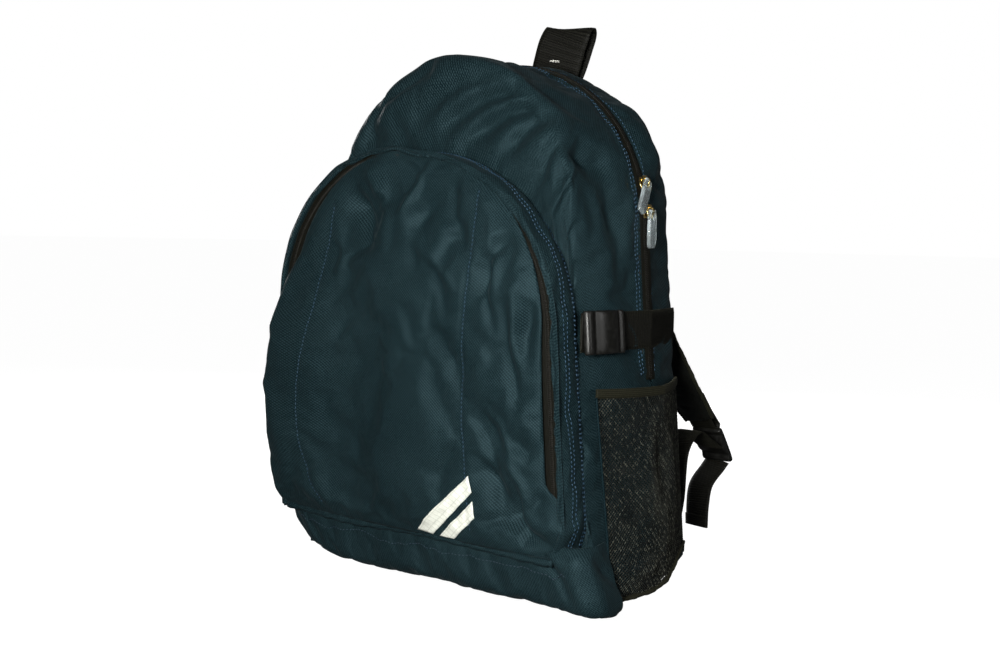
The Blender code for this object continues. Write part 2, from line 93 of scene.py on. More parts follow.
def area_light(name, place, aim, size, watts, colour=(1, 1, 1)):
    data = bpy.data.lights.new(name, "AREA")
    data.shape, data.size, data.energy, data.color = "DISK", size, watts, colour
    item = bpy.data.objects.new(name, data)
    bpy.context.scene.collection.objects.link(item)
    item.location = place
    item.rotation_euler = (Vector(aim) - Vector(place)).to_track_quat("-Z", "Y").to_euler()
    return item


def add_lights():
    area_light("key", (0.44, -0.84, 0.34), (0, 0, 0.24), 0.24, 14.5, (1, 0.99, 0.96))
    area_light("side", (1.45, -0.15, 0.50), BAG_MIDDLE, 0.5, 4.0)
    area_light("top", (-0.2, 0.3, 1.4), BAG_MIDDLE, 0.8, 0.35)
    area_light("back", (-0.70, 1.25, 0.50), BAG_MIDDLE, 0.7, 12).visible_glossy = False
    area_light("left", (-1.30, 0.45, 0.45), BAG_MIDDLE, 0.6, 7)


def add_world():
    """Weak even light on the bag, and a white ground behind it."""
    world = bpy.data.worlds.new("studio")
    world.use_nodes = True
    tree = world.node_tree
    soft = tree.nodes["Background"]
    soft.inputs[1].default_value = 0.065
    pale = tree.nodes.new("ShaderNodeBackground")
    pale.inputs[1].default_value = 1.0
    for node in (soft, pale):
        node.inputs[0].default_value = (1, 1, 1, 1)
    pick = tree.nodes.new("ShaderNodeMixShader")
    tree.links.new(tree.nodes.new("ShaderNodeLightPath").outputs["Is Camera Ray"], pick.inputs[0])
    tree.links.new(soft.outputs[0], pick.inputs[1])
    tree.links.new(pale.outputs[0], pick.inputs[2])
    tree.links.new(pick.outputs[0], tree.nodes["World Output"].inputs[0])
    bpy.context.scene.world = world
    bpy.context.scene.view_settings.view_transform = "Standard"


def add_floor():
    """Pale stage a little under the bag, so that the opened pocket stays above it."""
    mesh = bpy.data.meshes.new("floor")
    r = FLOOR_REACH
    mesh.from_pydata([(-r, -r, 0), (r, -r, 0), (r, r, 0), (-r, r, 0)], [], [(0, 1, 2, 3)])
    item = bpy.data.objects.new("floor", mesh)
    bpy.context.scene.collection.objects.link(item)
    item.location.z = -FLOOR_DROP
    pale_floor = Graph("floor_pale")
    pale_floor.set(Base_Color=(0.22, 0.22, 0.22, 1), Roughness=0.9, Specular_IOR_Level=0.0,
                   Emission_Color=(1, 1, 1, 1), Emission_Strength=0.97)
    item.data.materials.append(pale_floor.material)
    item.visible_diffuse = item.visible_glossy = False


# ---------------------------------------------------------------- materials
class Graph:
    """Small helper that wires shader nodes of one material."""

    def __init__(self, name):
        self.material = bpy.data.materials.new(name)
        self.material.use_nodes = True
        self.tree = self.material.node_tree
        self.shader = self.tree.nodes["Principled BSDF"]

    def node(self, kind, inputs=(), **settings):
        made = self.tree.nodes.new(kind)
        for key, value in settings.items():
            setattr(made, key, value)
        for key, value in dict(inputs).items():
            self.put(made.inputs[key], value)
        return made

    def put(self, socket, value):
        if hasattr(value, "is_output") or isinstance(value, bpy.types.NodeSocket):
            self.tree.links.new(value, socket)
        else:
            socket.default_value = value

    def maths(self, operation, *values):
        made = self.tree.nodes.new("ShaderNodeMath")
        made.operation = operation
        for socket, value in zip(made.inputs, values):
            self.put(socket, value)
        return made.outputs[0]

    def set(self, **values):
        for key, value in values.items():
            self.put(self.shader.inputs[key.replace("_", " ")], value)

    def noise(self, scale, detail=2.0, vector=None, roughness=0.5):
        made = self.node("ShaderNodeTexNoise", {"Scale": scale, "Detail": detail,
                                                "Roughness": roughness})
        self.put(made.inputs["Vector"], vector or self.place())
        return made.outputs["Fac"]

    def place(self):
        if not hasattr(self, "_place"):
            self._place = self.node("ShaderNodeTexCoord").outputs["Object"]
        return self._place

    def uv(self):
        if not hasattr(self, "_uv"):
            split = self.node("ShaderNodeSeparateXYZ")
            self.put(split.inputs[0], self.node("ShaderNodeTexCoord").outputs["UV"])
            self._uv = split.outputs[0], split.outputs[1]
        return self._uv

    def wave(self, value, pitch):
        """0 to 1 and back over each pitch."""
        turned = self.maths("MULTIPLY", value, 2 * math.pi / pitch)
        return self.maths("MULTIPLY_ADD", self.maths("SINE", turned), 0.5, 0.5)

    def mix(self, factor, a, b):
        made = self.node("ShaderNodeMix", data_type="RGBA")
        self.put(made.inputs[0], factor)
        self.put(made.inputs[6], (*a, 1) if isinstance(a, tuple) else a)
        self.put(made.inputs[7], (*b, 1) if isinstance(b, tuple) else b)
        return made.outputs[2]

    def ramp(self, value, low, high, out=(0.0, 1.0)):
        made = self.node("ShaderNodeMapRange", {"From Min": low, "From Max": high,
                                                "To Min": out[0], "To Max": out[1]})
        self.put(made.inputs["Value"], value)
        return made.outputs[0]

    def bump(self, height, distance, strength=1.0, under=None):
        made = self.node("ShaderNodeBump", {"Distance": distance, "Strength": strength})
        self.put(made.inputs["Height"], height)
        if under is not None:
            self.put(made.inputs["Normal"], under)
        return made.outputs[0]


def plain(name, colour, roughness, metallic=0.0):
    g = Graph(name)
    g.set(Base_Color=(*colour, 1), Roughness=roughness, Metallic=metallic)
    return g.material


def cloth_material(name, dark, light, sheen=0.03, pitch=0.0023, roughness=0.5):
    """Fine twill: diagonal threads, speckle between them, and broad soft colour changes."""
    g = Graph(name)
    u, v = g.uv()
    diagonal = g.wave(g.maths("ADD", u, v), pitch)
    cross = g.wave(g.maths("SUBTRACT", u, v), pitch)
    weave = g.maths("MULTIPLY", diagonal, g.maths("MULTIPLY_ADD", cross, 0.7, 0.3))
    speckle = g.noise(1300, 2)
    broad = g.noise(9, 3)
    tone = g.maths("ADD", g.maths("MULTIPLY_ADD", weave, 1.15, -0.09),
                   g.ramp(speckle, 0.35, 0.65, (-0.22, 0.42)))
    tone = g.maths("ADD", tone, g.ramp(broad, 0.3, 0.7, (-0.12, 0.12)))
    g.set(Base_Color=g.mix(tone, dark, light),
          Roughness=g.ramp(speckle, 0.3, 0.7, (roughness - 0.08, roughness + 0.08)),
          Sheen_Weight=sheen, Sheen_Roughness=0.35, Sheen_Tint=(0.45, 0.62, 0.68, 1),
          Specular_IOR_Level=0.14, Specular_Tint=(0.32, 0.54, 0.62, 1))
    fine = g.bump(weave, 0.00016, 0.8)
    g.set(Normal=g.bump(g.noise(260, 3), 0.0003, 0.35, fine))
    return g.material


def net_material():
    """Knitted net thread: dark, with painted highlights, bright slanted flecks where its loops would turn to
    the light.
    """
    g = Graph("mesh")
    x, y, z = (g.node("ShaderNodeSeparateXYZ", {"Vector": g.place()}).outputs[i] for i in range(3))
    # painted highlights: slanted bands broken into flecks lighten the thread where its loops would catch the
    # light
    slant = g.wave(g.maths("ADD", g.maths("MULTIPLY", y, 1.2), z), 0.0058)
    painted_glint = g.ramp(g.noise(330, 3), 0.48, 0.66)
    tone = g.maths("ADD", g.maths("MULTIPLY", g.maths("MULTIPLY", slant, painted_glint), 1.3),
                   g.ramp(g.noise(40, 2), 0.3, 0.7, (-0.1, 0.18)))
    g.set(Base_Color=g.mix(tone, (0.0035, 0.0040, 0.0030), (0.075, 0.078, 0.062)),
          Roughness=0.6, Specular_IOR_Level=0.2)
    return g.material


def web_material(name, dark, light, pitch=0.0021, along=1, sheen=0.03):
    """Ribbed webbing: ribs across its length, fine threads along it."""
    g = Graph(name)
    u, v = g.uv()
    run, side = (v, u) if along else (u, v)
    rib = g.wave(run, pitch)
    thread = g.wave(side, 0.0011)
    tone = g.maths("MULTIPLY", rib, g.maths("MULTIPLY_ADD", thread, 0.5, 0.5))
    tone = g.maths("ADD", tone, g.ramp(g.noise(900, 2), 0.3, 0.7, (-0.2, 0.25)))
    g.set(Base_Color=g.mix(tone, dark, light), Roughness=0.62, Sheen_Weight=sheen,
          Sheen_Roughness=0.4, Sheen_Tint=(0.8, 0.8, 0.6, 1), Specular_IOR_Level=0.14)
    g.set(Normal=g.bump(tone, 0.00025, 0.7))
    return g.material


def reflective_material():
    """Glass-bead tape: near white, with a faint brick grid pressed into it and a faint painted glow for its
    bright shine back at the light.
    """
    g = Graph("reflective")
    u, v = g.uv()
    grid = g.maths("MAXIMUM", g.ramp(g.wave(u, 0.0042), 0.9, 1.0), g.ramp(g.wave(v, 0.0065), 0.93, 1.0))
    worn = g.ramp(g.noise(500, 3), 0.35, 0.65)
    tone = g.maths("ADD", g.maths("MULTIPLY", grid, 0.5), g.maths("MULTIPLY", worn, 0.25))
    # the weak emission is a painted glow standing in for the tape shining back at a light near the camera
    g.set(Base_Color=g.mix(tone, (0.80, 0.82, 0.74), (0.42, 0.45, 0.38)), Roughness=0.35,
          Metallic=0.15, Emission_Color=(1, 1, 0.95, 1), Emission_Strength=0.06)
    g.set(Normal=g.bump(tone, 0.0002, 0.5))
    return g.material


def plastic_material(name, colour, roughness=0.3):
    g = Graph(name)
    worn = g.noise(240, 4)
    g.set(Base_Color=g.mix(g.ramp(worn, 0.4, 0.75), colour, tuple(c * 1.7 + 0.004 for c in colour)),
          Roughness=g.ramp(worn, 0.3, 0.7, (roughness - 0.02, roughness + 0.14)), Specular_IOR_Level=0.25)
    g.set(Normal=g.bump(g.noise(1400, 2), 0.00008, 0.4))
    return g.material


def brass_material():
    g = Graph("brass")
    worn = g.noise(420, 4)
    g.set(Base_Color=g.mix(g.ramp(worn, 0.4, 0.7), (0.80, 0.62, 0.26), (0.50, 0.36, 0.14)),
          Metallic=1.0, Roughness=g.ramp(worn, 0.3, 0.7, (0.18, 0.36)))
    return g.material


def clear_material():
    g = Graph("clear_plastic")
    cloud = g.noise(160, 3)
    g.set(Base_Color=(0.60, 0.68, 0.70, 1), Roughness=g.ramp(cloud, 0.3, 0.7, (0.12, 0.26)), IOR=1.42,
          Transmission_Weight=0.86, Specular_IOR_Level=0.5, Coat_Weight=0.15)
    return g.material


def make_materials():
    navy_dark, navy_light = (0.0010, 0.0048, 0.0064), (0.0185, 0.0355, 0.0410)
    black_dark, black_light = (0.0010, 0.0010, 0.0006), (0.0090, 0.0090, 0.0060)
    return {
        "navy": cloth_material("navy", navy_dark, navy_light),
        "edge": cloth_material("navy_edge", navy_dark, (0.0060, 0.0130, 0.0160)),
        "lining": cloth_material("lining", (0.004, 0.007, 0.010), (0.012, 0.018, 0.024), pitch=0.0012),
        "black_web": web_material("black_web", black_dark, black_light),
        "binding": web_material("binding", (0.005, 0.005, 0.0025), (0.020, 0.020, 0.011), 0.0014),
        "pad": cloth_material("black_pad", (0.0030, 0.0030, 0.0026), (0.010, 0.010, 0.0085)),
        "mesh": net_material(),
        "zip_tape": web_material("zip_tape", (0.0012, 0.0012, 0.0006), (0.0055, 0.0055, 0.0026), 0.0012),
        "coil": plastic_material("coil", (0.0035, 0.0032, 0.0018), 0.5),
        "thread": plain("thread", (0.014, 0.050, 0.095), 0.6),
        "thread_dark": plain("thread_dark", (0.006, 0.020, 0.036), 0.6),
        "white_thread": plain("white_thread", (0.75, 0.75, 0.70), 0.6),
        "black_plastic": plastic_material("black_plastic", (0.0045, 0.0045, 0.004)),
        "reflective": reflective_material(),
        "brass": brass_material(),
        "clear_plastic": clear_material(),
    }


# ---------------------------------------------------------------- meshes from grids
def link(name, mesh, look):
    item = bpy.data.objects.new(name, mesh)
    bpy.context.scene.collection.objects.link(item)
    mesh.materials.append(LOOKS[look])
    mesh.shade_smooth()
    return item


def from_bmesh(name, made, look):
    mesh = bpy.data.meshes.new(name)
    made.to_mesh(mesh)
    made.free()
    return link(name, mesh, look)


def length_uvs(mesh, u, v):
    """Give each corner its vertex's place on the cloth, in metres."""
    layer = mesh.uv_layers.new(name="length")
    corner = np.empty(len(mesh.loops), int)
    mesh.loops.foreach_get("vertex_index", corner)
    flat = np.stack([u.ravel(), v.ravel()], axis=1)
    layer.data.foreach_set("uv", flat[corner].ravel())


def grid_object(name, points, look):
    """Quad sheet through points[row, column]; its UVs are lengths along it in metres."""
    points = np.asarray(points, float)
    n, m = points.shape[:2]
    steps = np.linalg.norm(np.diff(points, axis=1), axis=2)
    u = np.concatenate([np.zeros((n, 1)), np.cumsum(steps, axis=1)], axis=1)
    u -= u[:, m // 2: m // 2 + 1]
    rise = np.linalg.norm(np.diff(points, axis=0), axis=2).mean(axis=1)
    v = np.concatenate([[0.0], np.cumsum(rise)])
    mesh = bpy.data.meshes.new(name)
    faces = [(i * m + j, i * m + j + 1, (i + 1) * m + j + 1, (i + 1) * m + j)
             for i in range(n - 1) for j in range(m - 1)]
    mesh.from_pydata(points.reshape(-1, 3).tolist(), [], faces)
    length_uvs(mesh, u, np.repeat(v, m))
    return link(name, mesh, look)


def add_modifier(item, kind, **settings):
    made = item.modifiers.new(kind.lower(), kind)
    for key, value in settings.items():
        setattr(made, key, value)
    return made


def thicken(item, thickness, offset=-1.0):
    add_modifier(item, "SOLIDIFY", thickness=thickness, offset=offset, use_even_offset=False)


def smooth_more(item, levels=1):
    add_modifier(item, "SUBSURF", levels=levels, render_levels=levels)


def bake(item):
    """Apply every modifier, leaving a plain mesh."""
    graph = bpy.context.evaluated_depsgraph_get()
    graph.update()
    mesh = bpy.data.meshes.new_from_object(item.evaluated_get(graph), depsgraph=graph)
    item.modifiers.clear()
    old = item.data
    item.data = mesh
    bpy.data.meshes.remove(old)
    mesh.shade_smooth()
    return item


def smoothed(item, levels=1):
    smooth_more(item, levels)
    return bake(item)


def solid(item, thickness, offset=-1.0):
    thicken(item, thickness, offset)
    return bake(item)


def cleaned(item, weld=0.0, sides=0):
    """Turn faces outward, after welding near vertices and closing ends of up to so many sides."""
    made = bmesh.new()
    made.from_mesh(item.data)
    if weld:
        bmesh.ops.remove_doubles(made, verts=made.verts, dist=weld)
        bmesh.ops.holes_fill(made, edges=made.edges, sides=sides)
    bmesh.ops.recalc_face_normals(made, faces=made.faces)
    made.to_mesh(item.data)
    made.free()
    return item


def placed(item, centre, turn):
    item.matrix_world = Matrix.Translation(Vector(centre)) @ turn.to_4x4()
    return item


def coords(item):
    return np.array([v.co for v in item.data.vertices], float)


def put_coords(item, points):
    item.data.vertices.foreach_set("co", points.ravel())
    item.data.update()


def merged(name, items):
    """Join made objects into one mesh; each keeps its materials."""
    mesh = bpy.data.meshes.new(name)
    made = bmesh.new()
    looks = []
    for item in items:
        offset = len(looks)
        looks += list(item.data.materials)
        start = len(made.faces)
        item.data.transform(item.matrix_world)
        made.from_mesh(item.data)
        made.faces.ensure_lookup_table()
        for face in made.faces[start:]:
            face.material_index += offset
            face.smooth = True
        bpy.data.objects.remove(item)
    made.to_mesh(mesh)
    made.free()
    whole = bpy.data.objects.new(name, mesh)
    bpy.context.scene.collection.objects.link(whole)
    for look in looks:
        mesh.materials.append(look)
    return whole


def unit(vectors):
    return vectors / np.linalg.norm(vectors, axis=-1, keepdims=True)


def ease(value, low, high):
    """0 up to low, 1 from high on, and a smooth rise between."""
    t = np.clip((np.asarray(value, float) - low) / (high - low), 0, 1)
    return t * t * (3 - 2 * t)


def held(rows, start, end):
    """0 at the sewn rows 0 and 1, and 1 from start to end."""
    return ease(rows, 0.0, start) * ease(rows, 1.0, end)


# ---------------------------------------------------------------- curves of the bag
def skin(depth):
    return tuple(float(np.interp(depth, DEPTHS, [ring[i] for ring in SKIN])) for i in range(3))


def inset(arch, amount):
    return tuple(value - amount for value in arch)


def half_width(arch, height):
    half_base, radius, top = arch
    spring = top - radius
    if height <= spring:
        return half_base + (radius - half_base) * height / spring
    return math.sqrt(max(radius ** 2 - (height - spring) ** 2, 0.0))


def arch_ring(arch, low, depth, count, share=None):
    """Points evenly spaced over the arch from its -X foot to its +X foot."""
    half_base, radius, top = arch
    spring = top - radius
    foot = half_width(arch, low)
    turns = np.linspace(math.pi, 0.0, 120)
    x = np.concatenate([[-foot], radius * np.cos(turns), [foot]])
    z = np.concatenate([[low], spring + radius * np.sin(turns), [low]])
    run = np.concatenate([[0.0], np.cumsum(np.hypot(np.diff(x), np.diff(z)))])
    at = (np.linspace(0.0, 1.0, count) if share is None else share) * run[-1]
    return np.stack([np.interp(at, run, x), np.full(len(at), depth), np.interp(at, run, z)], axis=1)


def loft(rings, count):
    """Smooth cubic B-spline through control rings, passing the first and the last."""
    rings = np.array(rings, float)
    rings = np.concatenate([rings[:1] * 2 - rings[1:2], rings, rings[-1:] * 2 - rings[-2:-1]])
    spans = len(rings) - 3
    out = []
    for at in np.linspace(0, spans, count):
        i = min(int(at), spans - 1)
        t = at - i
        a, b, c, d = rings[i:i + 4]
        out.append(((1 - t) ** 3 * a + (3 * t ** 3 - 6 * t ** 2 + 4) * b
                    + (-3 * t ** 3 + 3 * t ** 2 + 3 * t + 1) * c + t ** 3 * d) / 6)
    return np.array(out)


def route(points, spacing):
    """Evenly spaced points on the Catmull-Rom curve through given points."""
    knots = [np.array(p, float) for p in points]
    knots = [2 * knots[0] - knots[1]] + knots + [2 * knots[-1] - knots[-2]]
    line = []
    for a, b, c, d in zip(knots, knots[1:], knots[2:], knots[3:]):
        for t in np.linspace(0, 1, 24, endpoint=False):
            line.append(0.5 * (2 * b + (c - a) * t + (2 * a - 5 * b + 4 * c - d) * t ** 2
                               + (3 * b - a - 3 * c + d) * t ** 3))
    line.append(knots[-2])
    return respace(np.array(line), spacing)


def run_along(line):
    """Length along a line up to each of its points."""
    return np.concatenate([[0.0], np.cumsum(np.linalg.norm(np.diff(line, axis=0), axis=1))])


def sampled(at, run, line):
    return np.stack([np.interp(at, run, line[:, i]) for i in range(3)], axis=-1)


def respace(line, spacing):
    run = run_along(line)
    count = max(2, int(round(run[-1] / spacing)) + 1)
    return sampled(np.linspace(0, run[-1], count), run, line)


def grid_normals(points):
    du = np.gradient(points, axis=1)
    dv = np.gradient(points, axis=0)
    normal = np.cross(du, dv)
    return normal / np.maximum(np.linalg.norm(normal, axis=2, keepdims=True), 1e-12)


def folds_mm(*rows):
    """Rows of (half width, height, x, y, z, x, y, z, ...) in millimetres as (path, half width, height)."""
    return [(np.array(row[2:], float).reshape(-1, 3) / 1000, row[0] / 1000, row[1] / 1000) for row in rows]


def fold_heights(points, folds):
    """Height that listed folds give each point: (path, half width, height) each."""
    flat = points.reshape(-1, 3)
    total = np.zeros(len(flat))
    for path, width, height in folds:
        best = np.full(len(flat), 1e9)
        along = np.zeros(len(flat))
        lengths = np.linalg.norm(np.diff(path, axis=0), axis=1)
        starts = np.concatenate([[0.0], np.cumsum(lengths)])
        for a, b, start, length in zip(path, path[1:], starts, lengths):
            t = np.clip((flat - a) @ (b - a) / length ** 2, 0, 1)
            distance = np.linalg.norm(flat - (a + t[:, None] * (b - a)), axis=1)
            closer = distance < best
            best[closer] = distance[closer]
            along[closer] = (start + t * length)[closer] / starts[-1]
        fade = np.minimum(1.0, np.minimum(along, 1 - along) * 3 + 0.35)
        total += height * fade * np.exp(-(best / width) ** 1.6)
    return FOLD_GAIN * total.reshape(points.shape[:2])


def rumple(points, size, height, seed):
    """Broad soft unevenness, the same in each run."""
    out = [noise.noise(Vector(p) / size + Vector((seed, seed * 1.7, 0))) for p in points.reshape(-1, 3)]
    return height * np.array(out).reshape(points.shape[:2])


def shaped(points, folds=(), size=0.05, height=0.0015, seed=1.0, hold=None, outward=1.0):
    """Displace a grid along its normals by its folds and unevenness; hold is 0 where it is sewn."""
    normals = grid_normals(points) * outward
    lift = fold_heights(points, folds) + rumple(points, size, height, seed)
    lift += rumple(points, size * 0.35, height * 0.35, seed + 5)
    if hold is not None:
        lift = lift * hold
    return points + normals * lift[..., None]


# ---------------------------------------------------------------- cloth simulation and surfaces
def simulate(item, free, slack=0.02, cap=0.006, frames=16, pressure=0.0):
    """Let sewn cloth settle: free is 0 where a vertex is sewn fast; slack is spare cloth between seams."""
    group = item.vertex_groups.new(name="sewn")
    for i, value in enumerate(np.ravel(free)):
        group.add([i], float(1 - value), "REPLACE")
    rest = coords(item)
    cloth = add_modifier(item, "CLOTH")
    s = cloth.settings
    s.quality, s.mass = 6, 0.2
    s.tension_stiffness = s.compression_stiffness = 25
    s.shear_stiffness, s.bending_stiffness = 12, 0.4
    s.tension_damping = s.compression_damping = s.shear_damping = 12
    s.vertex_group_mass = "sewn"
    s.shrink_min = -slack
    s.effector_weights.gravity = 0.0
    if pressure:
        s.use_pressure = True
        s.uniform_pressure_force = pressure
    cloth.collision_settings.use_collision = False
    cloth.point_cache.frame_start, cloth.point_cache.frame_end = 1, frames
    for step in range(1, frames + 1):
        bpy.context.scene.frame_set(step)
    bake(item)
    bpy.context.scene.frame_set(1)
    move = coords(item) - rest
    move *= np.minimum(1.0, cap / np.maximum(np.linalg.norm(move, axis=1, keepdims=True), 1e-9))
    move[~np.isfinite(move).all(axis=1)] = 0.0
    put_coords(item, rest + move)
    item.vertex_groups.clear()


class Surface:
    """Nearest points on a finished mesh, for laying stitches, tape and trim on it."""

    def __init__(self, *items):
        vertices, faces = [], []
        for item in items:
            offset = len(vertices)
            vertices += [v.co.copy() for v in item.data.vertices]
            faces += [[offset + i for i in p.vertices] for p in item.data.polygons]
        self.tree = BVHTree.FromPolygons(vertices, faces)

    def drop(self, line, ways=None, lift=0.00005):
        """Move points onto the surface along +Y, or each along its own way."""
        points, normals = [], []
        ways = np.tile([0.0, 1.0, 0.0], (len(line), 1)) if ways is None else ways
        for p, way in zip(line, ways):
            at, normal, _, _ = self.tree.ray_cast(Vector(p) - Vector(way) * 0.05, Vector(way))
            if at is not None:
                normal = normal if normal.dot(Vector(way)) < 0 else -normal
                points.append(at + normal * lift)
                normals.append(normal)
        return np.array(points), np.array(normals)

    def lay(self, line, lift=0.0, toward=(0, -1, 0)):
        """Move points onto the surface, raised by lift, and give the normals there."""
        points, normals = [], []
        for p in line:
            at, normal, _, _ = self.tree.find_nearest(Vector(p))
            normal = normal if normal.dot(Vector(toward)) >= 0 else -normal
            points.append(at + normal * lift)
            normals.append(normal)
        return np.array(points), np.array(normals)


def groove(item, line, width=0.0022, depth=0.0011):
    """Pull the cloth in along a sewn line."""
    line = respace(np.array(line, float), 0.002)
    points = coords(item)
    lo, hi = line.min(0) - 0.012, line.max(0) + 0.012
    near = np.where(((points > lo) & (points < hi)).all(axis=1))[0]
    normals = np.array([v.normal for v in item.data.vertices], float)
    for part in np.array_split(near, max(1, len(near) // 2000)):
        gap = np.linalg.norm(points[part][:, None] - line[None], axis=2).min(axis=1)
        points[part] -= normals[part] * (depth * np.exp(-(gap / width) ** 2))[:, None]
    put_coords(item, points)


def stitches(name, lines, look="thread", pitch=0.0034, length=0.0023, radius=0.00034):
    """Rows of short threads; each line is (points, normals) on the cloth."""
    mesh = bpy.data.meshes.new(name)
    vertices, faces = [], []
    sides = 5
    for points, normals in lines:
        run = run_along(points)
        for start in np.arange(pitch / 2, run[-1] - length, pitch):
            at = np.array([start, start + length * 0.25, start + length * 0.75, start + length])
            middle = sampled(at, run, points)
            up = sampled(at[1], run, normals)
            along = middle[-1] - middle[0]
            along /= max(np.linalg.norm(along), 1e-9)
            across = np.cross(along, up)
            across /= max(np.linalg.norm(across), 1e-9)
            base = len(vertices)
            for k, (sink, fat) in enumerate(((-1.2, 0.5), (0.3, 1.0), (0.3, 1.0), (-1.2, 0.5))):
                for turn in np.linspace(0, 2 * math.pi, sides, endpoint=False):
                    ring = across * math.cos(turn) + up * math.sin(turn)
                    vertices.append(middle[k] + up * radius * sink + ring * radius * fat)
            for k in range(3):
                for j in range(sides):
                    a, b = base + k * sides + j, base + k * sides + (j + 1) % sides
                    faces.append((a, b, b + sides, a + sides))
            faces.append(tuple(base + j for j in reversed(range(sides))))
            faces.append(tuple(base + 3 * sides + j for j in range(sides)))
    mesh.from_pydata([tuple(v) for v in vertices], [], faces)
    return link(name, mesh, look)


def webbing(name, line, width, thickness=0.0016, look="black_web", side=(1.0, 0, 0), rib=0.0021, columns=9):
    """Woven strap along evenly spaced points, with raised ribs across it and rounded edges."""
    line = respace(np.array(line, float), rib / 4)
    n = len(line)
    ahead = unit(np.gradient(line, axis=0))
    side = np.array(side, float)
    if side.ndim == 1:
        side = np.tile(side, (n, 1))
    elif len(side) != n:
        side = sampled(np.linspace(0, 1, n), np.linspace(0, 1, len(side)), side)
    side = unit(side - ahead * (side * ahead).sum(axis=1, keepdims=True))
    up = np.cross(side, ahead)
    across = np.linspace(-1, 1, columns)
    body = thickness / 2 * (1 - 0.55 * np.abs(across) ** 8)
    ribs = 0.16 * thickness * np.cos(2 * math.pi * np.arange(n) / 4)[:, None] * (1 - np.abs(across) ** 6)
    half = width / 2
    spread_out = side[:, None] * (across * half)[..., None]
    raised = up[:, None] * (body + ribs)[..., None]
    top, low = line[:, None] + spread_out + raised, line[:, None] + spread_out - raised
    loop = np.concatenate([top, low[:, ::-1]], axis=1)
    m = loop.shape[1]
    mesh = bpy.data.meshes.new(name)
    faces = [(i * m + j, i * m + (j + 1) % m, (i + 1) * m + (j + 1) % m, (i + 1) * m + j)
             for i in range(n - 1) for j in range(m)]
    for end, turn in ((0, 1), (n - 1, -1)):
        for j in range(columns - 1):
            quad = (end * m + j, end * m + j + 1, end * m + m - 2 - j, end * m + m - 1 - j)
            faces.append(quad[::turn])
    mesh.from_pydata(loop.reshape(-1, 3).tolist(), [], faces)
    u = np.broadcast_to(np.concatenate([across, across[::-1]]) * half, (n, m))
    length_uvs(mesh, u, np.repeat(run_along(line), m))
    return cleaned(link(name, mesh, look))


def offset_ring(ring, amount):
    """Move an arch's points inward in their own plane; amount may vary along it."""
    ahead = unit(np.gradient(ring, axis=0))
    inward = np.stack([ahead[:, 2], np.zeros(len(ring)), -ahead[:, 0]], axis=1)
    return ring + inward * np.broadcast_to(amount, len(ring))[:, None]


def outline_gap(outline, points):
    """Distance to a closed outline in (x, z), the nearest point on it, and if each is inside."""
    a, b = outline, np.roll(outline, -1, axis=0)
    best, spot = np.full(len(points), 1e9), np.zeros((len(points), 2))
    inside = np.zeros(len(points), bool)
    for p, q in zip(a, b):
        d = q - p
        t = np.clip(((points - p) @ d) / max(d @ d, 1e-12), 0, 1)
        near = p + t[:, None] * d
        gap = np.linalg.norm(points - near, axis=1)
        closer = gap < best
        best[closer], spot[closer] = gap[closer], near[closer]
        spans = (p[1] > points[:, 1]) != (q[1] > points[:, 1])
        with np.errstate(divide="ignore", invalid="ignore"):
            cross = (q[0] - p[0]) * (points[:, 1] - p[1]) / (q[1] - p[1]) + p[0]
        inside ^= spans & (points[:, 0] < cross)
    return best, spot, inside


def trimmed_sheet(name, outline, step, depth, look):
    """Even square grid of cloth cut to an outline in (x, z); depth(x, z, gap) gives its y."""
    lo, hi = outline.min(0) - step, outline.max(0) + step
    xs, zs = np.arange(lo[0], hi[0], step), np.arange(lo[1], hi[1], step)
    flat = np.stack(np.meshgrid(xs, zs), axis=-1).reshape(-1, 2)
    gap, spot, inside = outline_gap(outline, flat)
    edge = gap < step * 0.5
    keep = inside | edge
    flat[edge] = spot[edge]
    gap[edge] = 0.0
    y = depth(flat[:, 0], flat[:, 1], gap)
    made = bmesh.new()
    layer = made.loops.layers.uv.new("length")
    verts = [made.verts.new((x, d, z)) if k else None for (x, z), d, k in zip(flat, y, keep)]
    m = len(xs)
    for i in range(len(zs) - 1):
        for j in range(m - 1):
            corners = (i * m + j, i * m + j + 1, (i + 1) * m + j + 1, (i + 1) * m + j)
            quad = [verts[c] for c in corners if verts[c] is not None]
            if len(quad) >= 3:
                for loop in made.faces.new(quad).loops:
                    loop[layer].uv = (loop.vert.co.x, loop.vert.co.z)
    loose = [v for v in made.verts if not v.link_faces]
    bmesh.ops.delete(made, geom=loose, context="VERTS")
    return from_bmesh(name, made, look)


# ---------------------------------------------------------------- main bag
REAR_FOLDS = folds_mm(
    (15, -3.6, 55, 50, 424, 78, 50, 406),
    (20, 5.6, 90, 50, 396, 108, 50, 376, 122, 50, 350, 130, 50, 330),
    (22, -2.6, 139, 50, 300, 143, 50, 270, 146, 50, 240),
    (6, -2.5, 100, 45, 392, 112, 55, 372, 120, 60, 352),
    (6, -3.5, 128, 40, 330, 131, 62, 322),
    (5, -2, 85, 40, 408, 92, 65, 398),
    (7, -3, -110, 45, 380, -122, 55, 350))
BOOT_FOLDS = folds_mm(
    (5, -3, 165, -70, 40, 162, -55, 28, 160, -40, 12),
    (4.5, -2.2, 120, -80, 10, 150, -74, 16, 163, -58, 12),
    (4.5, -3, 115, -90, 46, 135, -88, 34, 158, -78, 26),
    (4, -2.6, 132, -92, 56, 146, -88, 44, 160, -70, 40),
    (4, -2.2, 140, -86, 28, 150, -80, 12),
    (6, -3, -150, -80, 34, -120, -83, 24, -100, -82, 20),
    (4, 1.2, 155, -70, 5, 163, -55, 20))
